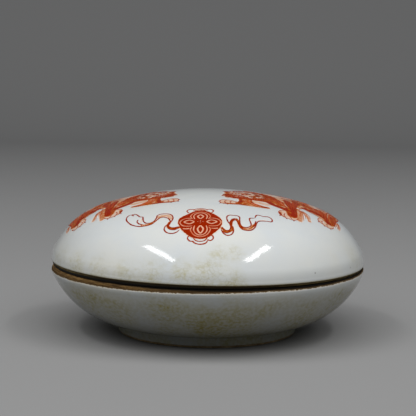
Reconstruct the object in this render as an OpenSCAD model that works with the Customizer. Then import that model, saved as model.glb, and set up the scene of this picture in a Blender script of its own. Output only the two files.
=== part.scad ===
// Round lidded porcelain box for seal paste.
// Everything is turned about the Z axis. The box stands on its foot ring at Z = 0.
// Box and lid are fired clay with thin coats of glaze. The glaze stops short of the
// mouth and of the foot, so the bare clay shows there.
// The heights of the lid's and the box's outlines are measured from the seat.

/* [Overall] */
// Widest diameter of the lid and of the box, over the glaze
ware_d = 100; // [80:1:120]
// Height of the seat, where the lid rests on the box
seat_z = 21.8; // [20.5:0.1:24]
// Thickness of every coat of glaze
glaze_t = 0.3; // [0.2:0.05:0.45]

/* [Mouth] */
// Radius of the rounded lip of the lid and of the box
lip_r = 0.8; // [0.5:0.05:1]
// Bare clay between the seat and the lid's glaze
lid_bare = 1.4; // [1.2:0.1:2]
// Bare clay between the seat and the box's glaze
box_bare = 1.6; // [1.4:0.1:2.2]
// Rounding of the inner edge of the lid's mouth
mouth_edge = 0.5; // [0.3:0.05:0.8]

/* [Lid] */
// Thickness of the lid's clay wall
lid_wall = 3.2; // [2.6:0.1:4]
// Height of the lid's widest point
lid_belly = 1.8; // [1.6:0.1:2.6]
// Radius of the lid's side at its widest point
lid_side_r = 8; // [7.5:0.1:9]
// Angle above the horizontal at which the side runs into the shoulder
lid_side_end = 26; // [22:1:30]
// Radius of the lid's shoulder
lid_shoulder_r = 25; // [22:0.5:28]
// Angle above the horizontal at which the shoulder runs into the crown
lid_shoulder_end = 72; // [70:0.5:75]
// Bare clay between the straight part of the mouth and the glaze inside the dome
dome_bare = 0.8; // [0.4:0.1:2]

/* [Box] */
// Depth of the box's widest point
box_belly = 1.1; // [0.9:0.1:1.3]
// Radius of the box's side at its widest point
box_side_r = 3.6; // [3.2:0.1:4.5]
// Angle below the horizontal at which the side runs into the flank
box_side_end = 24; // [20:1:28]
// Radius of the box's flank, down to the foot ring
box_flank_r = 27.8; // [26.5:0.1:29]

/* [Collar] */
// Height of the locating collar that stands inside the seat
collar_h = 4.6; // [3.5:0.1:6]
// Thickness of the collar, with the glaze that lines it
collar_t = 2.4; // [2:0.1:3]
// Gap all round between the collar and the lid's mouth
collar_fit = 0.6; // [0.4:0.05:1]
// Height of the lid's straight mouth above the top of the collar
mouth_room = 0.8; // [0.5:0.1:1.5]
// Bare clay at the top of the collar, down to the glaze that lines it
collar_bare = 1.6; // [1.2:0.1:2.5]

/* [Well] */
// Height of the middle of the well's floor
floor_z = 8.8; // [8.4:0.1:9.5]
// Radius of the corner between the well's wall and its floor
well_corner_r = 9; // [7:0.1:9.5]
// Depth below the seat at which the well's wall starts to turn in
well_turn = 2.6; // [2:0.1:3]

/* [Foot ring] */
// Outer diameter of the foot ring's clay at the ground
foot_d = 57; // [50:1:60]
// Width of the foot ring's clay at the ground
foot_w = 2.8; // [2.2:0.1:4]
// How far the outside of the foot ring leans out on its way up
foot_lean = 0.4; // [0.1:0.1:0.8]
// Radius between the foot ring and the flank
foot_fillet = 0.9; // [0.7:0.1:1.4]
// Rounding of the foot ring's two edges at the ground
foot_edge = 0.5; // [0.3:0.05:0.8]
// Bare clay at the bottom of the foot ring
foot_bare = 0.9; // [0.8:0.1:1.3]
// Height of the recess inside the foot ring, at its wall
recess_h = 4.4; // [4.2:0.1:4.8]
// How much higher the recess is in the middle
recess_rise = 0.4; // [0.2:0.1:0.6]
// Radius between the wall and the roof of the recess
recess_corner_r = 1.4; // [1:0.1:2]

/* [Seal paste] */
// Height of the top of the paste's mound above the ground
paste_top_z = 19.6; // [18:0.1:21]
// Height at which the mound meets the well's wall
paste_edge_z = 15.6; // [14:0.1:16.5]

/* [Hidden] */

CLAY = "#5a4630";
GLAZE = "#dfe3e4";
PASTE = "#b3261a";

// Steps along the long and the short arcs of an outline
LONG_ARC = 12;
SHORT_ARC = 6;
$fn = 144;

// Points along an arc. The first one is left out where an arc goes on from another.
function arc(c, r, from, to, steps, skip = 0) = [
    for (i = [skip : steps])
    let (a = from + (to - from) * i / steps)
    c + r * [cos(a), sin(a)]
];
function reversed(points) = [for (i = [len(points) - 1 : -1 : 0]) points[i]];
function above_seat(points) = [for (p = points) [p[0], seat_z + p[1]]];
function below_seat(points) = [for (p = points) [p[0], seat_z - p[1]]];

// A wall's outline starts with two arcs that run smoothly into each other. It is the list
// [side centre, side radius, angle where the side ends, next centre, next radius].
function wall(belly, side_r, side_end, next_r) =
    let (side_c = [ware_d / 2 - side_r, belly])
    [side_c, side_r, side_end, side_c + (side_r - next_r) * [cos(side_end), sin(side_end)], next_r];

// Both arcs at a depth d inside the outline, from an angle on the side to one on the next arc.
function wall_points(w, d, from, to) = concat(
    arc(w[0], w[1] - d, from, w[2], SHORT_ARC),
    arc(w[3], w[4] - d, w[2], to, LONG_ARC, 1));

// The angle on the side at which a wall's outline is at height h.
function side_angle(w, h) = asin((h - w[0][1]) / w[1]);

// The rounded lip of the clay, from the seat to where it runs into the side.
function lip_end(w) = asin((lip_r - w[0][1]) / (w[1] - glaze_t - lip_r));
function lip(w) =
    let (c = w[0] + (w[1] - glaze_t - lip_r) * [cos(lip_end(w)), sin(lip_end(w))])
    arc(c, lip_r, -90, lip_end(w), SHORT_ARC);

// The lid's outline goes on with a crown whose centre is on the axis.
lid = wall(lid_belly, lid_side_r, lid_side_end, lid_shoulder_r);
lid_glaze_start = side_angle(lid, lid_bare);
crown_r = lid_shoulder_r + lid[3][0] / cos(lid_shoulder_end);
crown_c = [0, lid[3][1] + (lid_shoulder_r - crown_r) * sin(lid_shoulder_end)];
function crown(d) = arc(crown_c, crown_r - d, lid_shoulder_end, 90, LONG_ARC, 1);

// The lid's mouth is straight for the height of the collar and its room, then the dome
// starts. The glaze in the dome starts a little higher.
dome_d = glaze_t + lid_wall;
mouth_h = collar_h + mouth_room;
function dome_angle(h) = asin((h - lid[3][1]) / (lid_shoulder_r - dome_d));
function dome_r(h) = lid[3][0] + (lid_shoulder_r - dome_d) * cos(dome_angle(h));
mouth_r = dome_r(mouth_h);
function dome(d) = concat(
    arc(lid[3], lid_shoulder_r - d, dome_angle(mouth_h + dome_bare), lid_shoulder_end, LONG_ARC),
    crown(d));

collar_r = mouth_r - collar_fit;
well_r = collar_r - collar_t;

// The box's wall ends where the fillet above the foot ring touches its flank.
box = wall(box_belly, box_side_r, box_side_end, box_flank_r);
box_glaze_start = side_angle(box, box_bare);
foot_r = foot_d / 2;
flank_c = [box[3][0], seat_z - box[3][1]];
fillet_x = foot_r + foot_lean + foot_fillet;
fillet_reach = box_flank_r - glaze_t + foot_fillet;
fillet_c = [fillet_x, flank_c[1] - sqrt(pow(fillet_reach, 2) - pow(fillet_x - flank_c[0], 2))];
flank_end = atan2(flank_c[1] - fillet_c[1], fillet_c[0] - flank_c[0]);
function fillet(d) = arc(fillet_c, foot_fillet + d, 180 - flank_end, 180, SHORT_ARC, 1);

// Where the glaze ends on the leaning side of the foot ring.
foot_glaze_x = foot_r + foot_lean * (foot_bare - foot_edge) / (fillet_c[1] - foot_edge);

// The well at a depth d behind its surface, from the top of its corner to the middle of its
// floor. The floor is a wide arc that the corner runs into.
well_z = seat_z - well_turn;
well_h = well_z - floor_z;
well_x = well_r - well_corner_r;
floor_r = (pow(well_x, 2) + pow(well_h, 2) - pow(well_corner_r, 2)) / (2 * (well_h - well_corner_r));
floor_start = -atan2(floor_r - well_h, well_x);
function well(d) = concat(
    arc([well_x, well_z], well_corner_r + d, 0, floor_start, LONG_ARC),
    arc([0, floor_z + floor_r], floor_r + d, floor_start, -90, SHORT_ARC, 1));

// The recess inside the foot ring at a depth d behind its surface, from the bottom of its
// corner to the middle of its roof.
recess_r = foot_r - foot_w - glaze_t;
recess_x = recess_r - recess_corner_r;
roof_r = (pow(recess_r, 2) + pow(recess_rise, 2)) / (2 * recess_rise);
roof_c = [0, recess_h + recess_rise - roof_r];
recess_z = roof_c[1] + sqrt(pow(roof_r - recess_corner_r, 2) - pow(recess_x, 2));
roof_start = atan2(recess_z - roof_c[1], recess_x);
function recess(d) = concat(
    arc([recess_x, recess_z], recess_corner_r + d, 0, roof_start, SHORT_ARC),
    arc(roof_c, roof_r + d, roof_start, 90, SHORT_ARC, 1));

// The mound of paste is a wide arc over the whole well.
mound_rise = paste_top_z - paste_edge_z;
mound_r = (pow(well_r, 2) + pow(mound_rise, 2)) / (2 * mound_rise);
mound_start = asin(well_r / mound_r);

// Clay of the box: bowl, seat, locating collar and foot ring in one piece.
module box_body() {
    collar_top = seat_z + collar_h;
    collar_edge = collar_t / 3;
    color(CLAY) rotate_extrude() polygon(concat(
        arc([well_r + glaze_t + collar_edge, collar_top - collar_edge], collar_edge, 180, 90, SHORT_ARC),
        arc([collar_r - collar_edge, collar_top - collar_edge], collar_edge, 90, 0, SHORT_ARC),
        [[collar_r, seat_z]],
        below_seat(lip(box)),
        below_seat(wall_points(box, glaze_t, box_glaze_start, flank_end)),
        fillet(0),
        arc([foot_r - foot_edge, foot_edge], foot_edge, 0, -90, SHORT_ARC),
        arc([foot_r - foot_w + foot_edge, foot_edge], foot_edge, -90, -180, SHORT_ARC),
        recess(glaze_t),
        reversed(well(glaze_t))));
}

// Glaze on the outside of the box, from below the lip to the side of the foot ring.
module box_outer_glaze() {
    color(GLAZE) rotate_extrude() polygon(concat(
        below_seat(wall_points(box, 0, box_glaze_start, flank_end)),
        fillet(-glaze_t),
        [[foot_glaze_x + glaze_t, foot_bare], [foot_glaze_x, foot_bare]],
        reversed(fillet(0)),
        reversed(below_seat(wall_points(box, glaze_t, box_glaze_start, flank_end)))));
}

// Glaze that lines the well, up to the bare top of the collar.
module box_inner_glaze() {
    glaze_top = seat_z + collar_h - collar_bare;
    color(GLAZE) rotate_extrude() polygon(concat(
        [[well_r, glaze_top]],
        well(0),
        reversed(well(glaze_t)),
        [[well_r + glaze_t, glaze_top]]));
}

// Glaze on the wall and the roof of the recess inside the foot ring.
module foot_recess_glaze() {
    color(GLAZE) rotate_extrude() polygon(concat(
        [[recess_r, foot_bare]],
        recess(0),
        reversed(recess(glaze_t)),
        [[recess_r + glaze_t, foot_bare]]));
}

// Seal paste: a low mound that fills the bottom of the well.
module seal_paste() {
    color(PASTE) rotate_extrude() intersection() {
        polygon(concat([[0, seat_z], [well_r, seat_z]], well(0)));
        polygon(concat(
            arc([0, paste_top_z - mound_r], mound_r, 90 - mound_start, 90, LONG_ARC),
            [[0, 0], [well_r, 0]]));
    }
}

// Clay of the lid: a dome of even thickness with a flat seat and a straight mouth.
module lid_body() {
    color(CLAY) rotate_extrude() polygon(above_seat(concat(
        lip(lid),
        wall_points(lid, glaze_t, lid_glaze_start, lid_shoulder_end),
        crown(glaze_t),
        reversed(dome(dome_d)),
        [[mouth_r, mouth_h]],
        arc([mouth_r + mouth_edge, mouth_edge], mouth_edge, 180, 270, SHORT_ARC))));
}

// Glaze on the outside of the lid, down to the bare clay above the lip.
module lid_outer_glaze() {
    color(GLAZE) rotate_extrude() polygon(above_seat(concat(
        wall_points(lid, 0, lid_glaze_start, lid_shoulder_end),
        crown(0),
        reversed(crown(glaze_t)),
        reversed(wall_points(lid, glaze_t, lid_glaze_start, lid_shoulder_end)))));
}

// Glaze inside the lid's dome, above the bare mouth that the collar enters.
module lid_inner_glaze() {
    color(GLAZE) rotate_extrude() polygon(above_seat(concat(
        dome(dome_d),
        reversed(dome(dome_d + glaze_t)))));
}

box_body();
box_outer_glaze();
box_inner_glaze();
foot_recess_glaze();
seal_paste();
lid_body();
lid_outer_glaze();
lid_inner_glaze();
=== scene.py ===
"""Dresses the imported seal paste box: turned clay, porcelain glaze, iron red painting and seal paste."""

import functools
import math

import bmesh
import bpy
import numpy as np
from mathutils import Matrix, Vector


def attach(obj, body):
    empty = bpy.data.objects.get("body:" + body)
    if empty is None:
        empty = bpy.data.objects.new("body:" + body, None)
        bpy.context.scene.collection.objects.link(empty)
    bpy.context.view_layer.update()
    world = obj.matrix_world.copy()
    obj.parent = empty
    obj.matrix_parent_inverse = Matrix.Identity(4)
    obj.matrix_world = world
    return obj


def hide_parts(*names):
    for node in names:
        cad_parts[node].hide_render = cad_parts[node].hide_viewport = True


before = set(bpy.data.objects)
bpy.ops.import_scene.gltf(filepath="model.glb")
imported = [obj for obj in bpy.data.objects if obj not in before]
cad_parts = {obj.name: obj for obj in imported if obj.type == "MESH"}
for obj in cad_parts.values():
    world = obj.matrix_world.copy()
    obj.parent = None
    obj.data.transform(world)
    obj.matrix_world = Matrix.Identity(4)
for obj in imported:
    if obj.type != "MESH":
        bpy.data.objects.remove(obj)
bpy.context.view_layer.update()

bl_info = {
    "name": "Seal paste box",
    "version": (1, 0, 0),
    "blender": (4, 5, 0),
    "location": "3D View > Sidebar > Seal paste box",
    "description": "Porcelain seal paste box with a lid painted in iron red",
    "category": "Add Mesh",
}

MM = 0.001
# Sizes in this file are in millimetres unless a property says otherwise. Heights are above the ground.
# These are the part's own sizes, under the part's names.
WARE_R, SEAT_Z, GLAZE_T, LIP_R = 50, 21.8, 0.3, 0.8
LID_WALL, LID_BELLY, LID_SIDE_R, LID_SIDE_END = 3.2, 1.8, 8, 26
LID_SHOULDER_R, LID_SHOULDER_END, DOME_BARE = 25, 72, 0.8
BOX_BELLY, BOX_SIDE_R, BOX_SIDE_END, BOX_FLANK_R = 1.1, 3.6, 24, 27.8
COLLAR_H, COLLAR_T, COLLAR_FIT, COLLAR_BARE = 4.6, 2.4, 0.6, 1.6
MOUTH_ROOM, MOUTH_EDGE = 0.8, 0.5
FLOOR_Z, WELL_CORNER_R, WELL_TURN = 8.8, 9, 2.6
FOOT_R, FOOT_W, FOOT_LEAN, FOOT_FILLET, FOOT_EDGE, FOOT_BARE = 28.5, 2.8, 0.4, 0.9, 0.5, 0.9
RECESS_H, RECESS_RISE, RECESS_CORNER_R = 4.4, 0.4, 1.4
PASTE_TOP_Z, PASTE_RISE = 19.6, 4
# Where the outside glaze ends on average: above the seat on the lid, and below it on the box.
LID_EDGE, BOX_EDGE = 1.15, 0.95


def linear(colour):
    """An sRGB hex colour as linear red, green, blue and 1."""
    parts = [int(colour[i : i + 2], 16) / 255 for i in (1, 3, 5)]
    return tuple(p / 12.92 if p <= 0.04045 else ((p + 0.055) / 1.055) ** 2.4 for p in parts) + (1.0,)


# Turned outlines. They repeat the part's own arcs, so that each coat lies on its clay.


class Outline:
    """Arcs and straight walls that run smoothly into each other, read by the distance along them.

    An arc is (centre radius, centre height, arc radius, first angle, last angle, hollow), in degrees.
    A hollow arc has its centre outside the clay. A straight wall is (radius, height, radius, height, way),
    where way is 1 if the clay lies outwards of it and -1 if it lies inwards.
    """

    def __init__(self, *parts):
        self.parts = parts
        self.lengths = [
            abs(math.radians(p[4] - p[3])) * p[2] if len(p) == 6 else math.dist(p[:2], p[2:4]) for p in parts
        ]
        self.length = sum(self.lengths)

    def at(self, s, depth=0.0):
        """Radius and height at the distances s, depth below the surface. The end parts go on past their ends."""
        s = np.asarray(s, float)
        radius, height, start = np.zeros_like(s), np.zeros_like(s), 0.0
        for i, (part, length) in enumerate(zip(self.parts, self.lengths)):
            t = (s - start) / length
            if len(part) == 6:
                cr, cz, r, a0, a1, hollow = part
                angle = np.radians(a0 + (a1 - a0) * t)
                reach = r + depth if hollow else r - depth
                r_here, z_here = cr + reach * np.cos(angle), cz + reach * np.sin(angle)
            else:
                r0, z0, r1, z1, way = part
                r_here, z_here = r0 + (r1 - r0) * t + way * depth, z0 + (z1 - z0) * t
            here = s >= start if i else np.full(s.shape, True)
            radius, height = np.where(here, r_here, radius), np.where(here, z_here, height)
            start += length
        return radius, height


def further(point, reach, angle):
    """The point that lies reach away from a point, at an angle in degrees."""
    return point[0] + reach * math.cos(math.radians(angle)), point[1] + reach * math.sin(math.radians(angle))


def arc_sine(rise, radius):
    """The angle in degrees at which an arc of that radius stands rise above its centre."""
    return math.degrees(math.asin(rise / radius))


def arc_points(centre_r, centre_z, r, first, last, steps=8):
    angle = np.radians(np.linspace(first, last, steps + 1))
    return np.stack([centre_r + r * np.cos(angle), centre_z + r * np.sin(angle)], 1)


# The lid: crown, shoulder and side arcs. The crown's centre is on the axis.
LID_SIDE = (WARE_R - LID_SIDE_R, SEAT_Z + LID_BELLY)
LID_SHOULDER = further(LID_SIDE, LID_SIDE_R - LID_SHOULDER_R, LID_SIDE_END)
CROWN_R = LID_SHOULDER_R + LID_SHOULDER[0] / math.cos(math.radians(LID_SHOULDER_END))
CROWN_Z = further(LID_SHOULDER, LID_SHOULDER_R - CROWN_R, LID_SHOULDER_END)[1]
LID = Outline(
    (0, CROWN_Z, CROWN_R, 90, LID_SHOULDER_END, False),
    (*LID_SHOULDER, LID_SHOULDER_R, LID_SHOULDER_END, LID_SIDE_END, False),
    (*LID_SIDE, LID_SIDE_R, LID_SIDE_END, arc_sine(LID_EDGE - LID_BELLY, LID_SIDE_R), False),
)

# The lining of the lid's dome, inside the clay. It ends a little above the straight part of the mouth.
DOME_R = LID_SHOULDER_R - GLAZE_T - LID_WALL
MOUTH_TOP = SEAT_Z + COLLAR_H + MOUTH_ROOM
DOME_END = arc_sine(MOUTH_TOP + DOME_BARE - LID_SHOULDER[1], DOME_R)
DOME = Outline(
    (0, CROWN_Z, CROWN_R - LID_SHOULDER_R + DOME_R - GLAZE_T, 90, LID_SHOULDER_END, True),
    (*LID_SHOULDER, DOME_R - GLAZE_T, LID_SHOULDER_END, DOME_END, True),
)
MOUTH_R = LID_SHOULDER[0] + math.sqrt(DOME_R**2 - (MOUTH_TOP - LID_SHOULDER[1]) ** 2)

# The box: side, flank, the fillet above the foot ring, and the foot ring's leaning side.
BOX_SIDE = (WARE_R - BOX_SIDE_R, SEAT_Z - BOX_BELLY)
BOX_FLANK = further(BOX_SIDE, BOX_SIDE_R - BOX_FLANK_R, -BOX_SIDE_END)
FOOT_TOP_R = FOOT_R + FOOT_LEAN
FILLET_X = FOOT_TOP_R + FOOT_FILLET
FILLET_Z = BOX_FLANK[1] - math.sqrt((BOX_FLANK_R - GLAZE_T + FOOT_FILLET) ** 2 - (FILLET_X - BOX_FLANK[0]) ** 2)
FLANK_END = math.degrees(math.atan2(BOX_FLANK[1] - FILLET_Z, FILLET_X - BOX_FLANK[0]))
FOOT_GLAZE_R = FOOT_R + FOOT_LEAN * (FOOT_BARE - FOOT_EDGE) / (FILLET_Z - FOOT_EDGE)
BOX = Outline(
    (*BOX_SIDE, BOX_SIDE_R, arc_sine(BOX_BELLY - BOX_EDGE, BOX_SIDE_R), -BOX_SIDE_END, False),
    (*BOX_FLANK, BOX_FLANK_R, -BOX_SIDE_END, -FLANK_END, False),
    (FILLET_X, FILLET_Z, FOOT_FILLET - GLAZE_T, 180 - FLANK_END, 180, True),
    (FOOT_TOP_R + GLAZE_T, FILLET_Z, FOOT_GLAZE_R + GLAZE_T, FOOT_BARE, -1),
)

# The well: its straight wall, corner and floor.
WELL_R = MOUTH_R - COLLAR_FIT - COLLAR_T
WELL_X, WELL_Z = WELL_R - WELL_CORNER_R, SEAT_Z - WELL_TURN
WELL_H = WELL_Z - FLOOR_Z
FLOOR_R = (WELL_X**2 + WELL_H**2 - WELL_CORNER_R**2) / (2 * (WELL_H - WELL_CORNER_R))
FLOOR_START = -math.degrees(math.atan2(FLOOR_R - WELL_H, WELL_X))
WELL = Outline(
    (WELL_R, SEAT_Z + COLLAR_H - COLLAR_BARE, WELL_R, WELL_Z, 1),
    (WELL_X, WELL_Z, WELL_CORNER_R, 0, FLOOR_START, True),
    (0, FLOOR_Z + FLOOR_R, FLOOR_R, FLOOR_START, -90, True),
)

# The recess inside the foot ring: its wall, corner and roof.
RECESS_R = FOOT_R - FOOT_W - GLAZE_T
RECESS_X = RECESS_R - RECESS_CORNER_R
ROOF_R = (RECESS_R**2 + RECESS_RISE**2) / (2 * RECESS_RISE)
ROOF_Z = RECESS_H + RECESS_RISE - ROOF_R
RECESS_Z = ROOF_Z + math.sqrt((ROOF_R - RECESS_CORNER_R) ** 2 - RECESS_X**2)
ROOF_START = math.degrees(math.atan2(RECESS_Z - ROOF_Z, RECESS_X))
RECESS = Outline(
    (RECESS_R, FOOT_BARE, RECESS_R, RECESS_Z, 1),
    (RECESS_X, RECESS_Z, RECESS_CORNER_R, 0, ROOF_START, True),
    (0, ROOF_Z, ROOF_R, ROOF_START, 90, True),
)


def stops_along(length, fine_start=False, fine_end=False):
    """Distances from 0 to length, coarse steps apart and fine ones near an end that has a glaze edge."""
    fine, coarse, near, least = 0.12, 0.9, 4, 0.05
    stops = [0.0]
    while stops[-1] < length - least:
        s = stops[-1]
        close = (fine_start and s < near) or (fine_end and s > length - near - coarse)
        stops.append(min(s + (fine if close else coarse), length))
    return np.array(stops)


# Nodes and meshes


def add_node(tree, kind, sockets=None, **settings):
    """Adds a node and gives its outputs. A value in sockets is set, or linked if it is another node's output."""
    node = tree.nodes.new(kind)
    for key, value in settings.items():
        setattr(node, key, value)
    for key, value in (sockets or {}).items():
        if isinstance(value, bpy.types.NodeSocket):
            tree.links.new(value, node.inputs[key])
        else:
            node.inputs[key].default_value = value
    return node.outputs


def new_tree(name, inputs):
    """A Geometry Nodes tree with the named inputs, what adds a node to it, and its input node's outputs."""
    tree = bpy.data.node_groups.new(name, "GeometryNodeTree")
    for label, kind in [("Geometry", "Geometry")] + inputs:
        tree.interface.new_socket(label, in_out="INPUT", socket_type="NodeSocket" + kind)
    tree.interface.new_socket("Geometry", in_out="OUTPUT", socket_type="NodeSocketGeometry")
    add = functools.partial(add_node, tree)
    return tree, add, add("NodeGroupInput")


def new_finish(name):
    """An empty material, and what adds a node to it."""
    material = bpy.data.materials.new(name)
    material.use_nodes = True
    material.node_tree.nodes.clear()
    return material, functools.partial(add_node, material.node_tree)


def object_mm(add):
    """Object coordinates in millimetres, for a material."""
    place = add("ShaderNodeTexCoord")["Object"]
    return add("ShaderNodeVectorMath", {0: place, 1: (1000, 1000, 1000)}, operation="MULTIPLY")[0]


def put(name, mesh):
    obj = bpy.data.objects.new(name, mesh)
    bpy.context.scene.collection.objects.link(obj)
    return obj


def new_mesh(name, points, faces=(), edges=()):
    """A mesh from points in millimetres."""
    mesh = bpy.data.meshes.new(name)
    mesh.from_pydata((np.asarray(points, float) * MM).tolist(), edges, faces)
    mesh.update()
    return mesh


def store(mesh, name, values):
    """Keeps one number per point on the mesh, for its material or its node tree."""
    mesh.attributes.new(name, "FLOAT", "POINT").data.foreach_set("value", np.asarray(values, np.float32))


def grown(obj, tree, values):
    """Runs a Geometry Nodes tree on obj and leaves its result as a plain mesh."""
    modifier = obj.modifiers.new("Build", "NODES")
    modifier.node_group = tree
    sockets = {item.name: item.identifier for item in tree.interface.items_tree if item.in_out == "INPUT"}
    for label, value in values.items():
        modifier[sockets[label]] = value
    obj.update_tag()
    graph = bpy.context.evaluated_depsgraph_get()
    mesh = bpy.data.meshes.new_from_object(obj.evaluated_get(graph), preserve_all_data_layers=True, depsgraph=graph)
    obj.modifiers.clear()
    old = obj.data
    obj.data = mesh
    bpy.data.meshes.remove(old)
    mesh.name = obj.name
    return obj


def face_out(obj):
    """Turns a closed mesh's faces outwards."""
    bm = bmesh.new()
    bm.from_mesh(obj.data)
    if bm.calc_volume(signed=True) < 0:
        bmesh.ops.reverse_faces(bm, faces=bm.faces)
    bm.to_mesh(obj.data)
    bm.free()


def finish_piece(obj, body, slot, *nodes):
    """Smooths a piece, puts it on its body, and lets it stand for its CAD nodes. slot is not used."""
    obj.data.polygons.foreach_set("use_smooth", [True] * len(obj.data.polygons))
    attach(obj, body)
    if nodes:
        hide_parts(*nodes)
    return obj


# Finishes


def porcelain_glaze(name, washed=False):
    """Clear feldspathic glaze, fired on porcelain clay at about 1300 degrees.

    It is glassy and a little blue where it lies thick, uneven from the kiln, and brown stain has
    crept into its fine cracks near the mouth. Where it is washed with red it has a softer gloss.
    """
    material, add = new_finish(name)
    place = object_mm(add)
    height = add("ShaderNodeSeparateXYZ", {0: place})[2]

    # Clouds in the glaze, about 25 mm across.
    clouds = add("ShaderNodeTexNoise", {"Vector": place, "Scale": 1 / 25, "Detail": 4.0, "Roughness": 0.6})[0]
    clouds = add("ShaderNodeMapRange", {0: clouds, 1: 0.32, 2: 0.68})[0]
    colour = add("ShaderNodeMix", {0: clouds, 6: linear("#c9ced1"), 7: linear("#d3d4cf")}, data_type="RGBA")[2]

    # Stain soaked into the cracks: soft blots 2 to 4 mm wide and half as high.
    low = add("ShaderNodeVectorMath", {0: place, 1: (0.7, 0.7, 1.5)}, operation="MULTIPLY")[0]
    blots = add("ShaderNodeTexNoise", {"Vector": low, "Scale": 0.42, "Detail": 5.0, "Roughness": 0.72})[0]
    blots = add("ShaderNodeMapRange", {0: blots, 1: 0.4, 2: 0.66}, interpolation_type="SMOOTHSTEP")[0]
    patches = None
    for centre, reach, strength in (
        ((-46, -20, 24), 9, 0.6), ((-40, -30, 24), 8, 0.9), ((-32, -38, 24), 8, 0.7),
        ((-24, -44, 24), 8, 0.7), ((-16, -47, 24), 9, 0.8), ((-7, -49, 25), 8, 0.8),
        ((0, -49, 26), 8, 1.0), ((7, -49, 23), 7, 1.0), ((3, -47, 32), 6, 0.6),
        ((8, -47, 33), 5, 0.9), ((40, -32, 31), 5, 0.5), ((46, -20, 27), 8, 0.3),
        ((-12, -44, 15), 10, 0.9), ((-2, -42, 12), 10, 0.8), ((-11, -37, 9), 5, 1.0),
        ((-34, -33, 18), 7, 0.6), ((38, -27, 17), 7, 0.9), ((45, 20, 25), 10, 0.7),
        ((18, 46, 25), 11, 0.6), ((-20, 45, 27), 8, 0.8), ((-46, 16, 24), 9, 0.6),
    ):
        gap = add("ShaderNodeVectorMath", {0: place, 1: centre}, operation="DISTANCE")[1]
        sockets = {0: gap, 1: reach, 2: 0.0, 3: 0.0, 4: strength}
        near = add("ShaderNodeMapRange", sockets, interpolation_type="SMOOTHSTEP")[0]
        if patches is None:
            patches = near
        else:
            patches = add("ShaderNodeMath", {0: patches, 1: near}, operation="MAXIMUM")[0]
    blots = add("ShaderNodeMapRange", {0: blots, 3: 0.25, 4: 1.0})[0]
    stain = add("ShaderNodeMath", {0: patches, 1: blots}, operation="MULTIPLY")[0]
    stain = add("ShaderNodeMath", {0: stain, 1: 0.58}, operation="MULTIPLY")[0]
    # A thin greenish stain covers the box, from 1.8 mm below the seat and full 6 mm below it, in broad patches.
    below = add("ShaderNodeMapRange", {0: height, 1: SEAT_Z - 1.8, 2: SEAT_Z - 6, 3: 0.0, 4: 0.62})[0]
    broad = add("ShaderNodeTexNoise", {"Vector": place, "Scale": 1 / 12, "Detail": 4.0})[0]
    broad = add("ShaderNodeMapRange", {0: broad, 1: 0.34, 2: 0.66, 3: 0.35, 4: 1.0})[0]
    below = add("ShaderNodeMath", {0: below, 1: broad}, operation="MULTIPLY")[0]
    stain = add("ShaderNodeMath", {0: stain, 1: below}, operation="ADD")[0]
    # The stain is grainy, with grains 1 mm across.
    grain = add("ShaderNodeTexNoise", {"Vector": place, "Scale": 1.0, "Detail": 3.0})[0]
    grain = add("ShaderNodeMapRange", {0: grain, 1: 0.35, 2: 0.65, 3: 0.6, 4: 1.4})[0]
    stain = add("ShaderNodeMath", {0: stain, 1: grain}, operation="MULTIPLY")[0]
    colour = add("ShaderNodeMix", {0: stain, 6: colour, 7: linear("#a89d55")}, data_type="RGBA")[2]

    # Craze lines round cells of 1.6 mm, drawn 0.1 mm wide and faint.
    crack = add("ShaderNodeTexVoronoi", {"Vector": place, "Scale": 0.62}, feature="DISTANCE_TO_EDGE")[0]
    crack = add("ShaderNodeMapRange", {0: crack, 1: 0.07, 2: 0.015})[0]
    shown = add("ShaderNodeMapRange", {0: patches, 1: 0.2, 2: 0.9, 3: 0.0, 4: 0.22})[0]
    crack = add("ShaderNodeMath", {0: crack, 1: shown}, operation="MULTIPLY")[0]
    colour = add("ShaderNodeMix", {0: crack, 6: colour, 7: linear("#8f8348")}, data_type="RGBA")[2]

    # A few iron specks from the clay, up to 0.6 mm across.
    speck = add("ShaderNodeTexVoronoi", {"Vector": place, "Scale": 1 / 5.6})
    chance = add("ShaderNodeSeparateColor", {0: speck["Color"]})[0]
    chance = add("ShaderNodeMath", {0: chance, 1: 0.95}, operation="GREATER_THAN")[0]
    dot = add("ShaderNodeMapRange", {0: speck["Distance"], 1: 0.07, 2: 0.03})[0]
    dot = add("ShaderNodeMath", {0: dot, 1: chance}, operation="MULTIPLY")[0]
    for centre, size in (((31.6, -38.6, 25.2), 0.32), ((43.4, -24.6, 24.7), 0.26)):
        gap = add("ShaderNodeVectorMath", {0: place, 1: centre}, operation="DISTANCE")[1]
        near = add("ShaderNodeMapRange", {0: gap, 1: size, 2: 0.1, 3: 0.0, 4: 0.8})[0]
        dot = add("ShaderNodeMath", {0: dot, 1: near}, operation="MAXIMUM")[0]
    colour = add("ShaderNodeMix", {0: dot, 6: colour, 7: linear("#4d3d2c")}, data_type="RGBA")[2]

    # Red washes: thin ones are orange and let the glaze through, thick ones are dark.
    wash = add("ShaderNodeAttribute", attribute_name="wash")["Fac"]
    thick = add("ShaderNodeMapRange", {0: wash, 1: 0.2, 2: 0.85})[0]
    red = add("ShaderNodeMix", {0: thick, 6: linear("#d08620"), 7: linear("#8e2000")}, data_type="RGBA")[2]
    cover = add("ShaderNodeMapRange", {0: wash, 1: 0.0, 2: 0.6})[0]
    colour = add("ShaderNodeMix", {0: cover, 6: colour, 7: red}, data_type="RGBA")[2]
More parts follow.
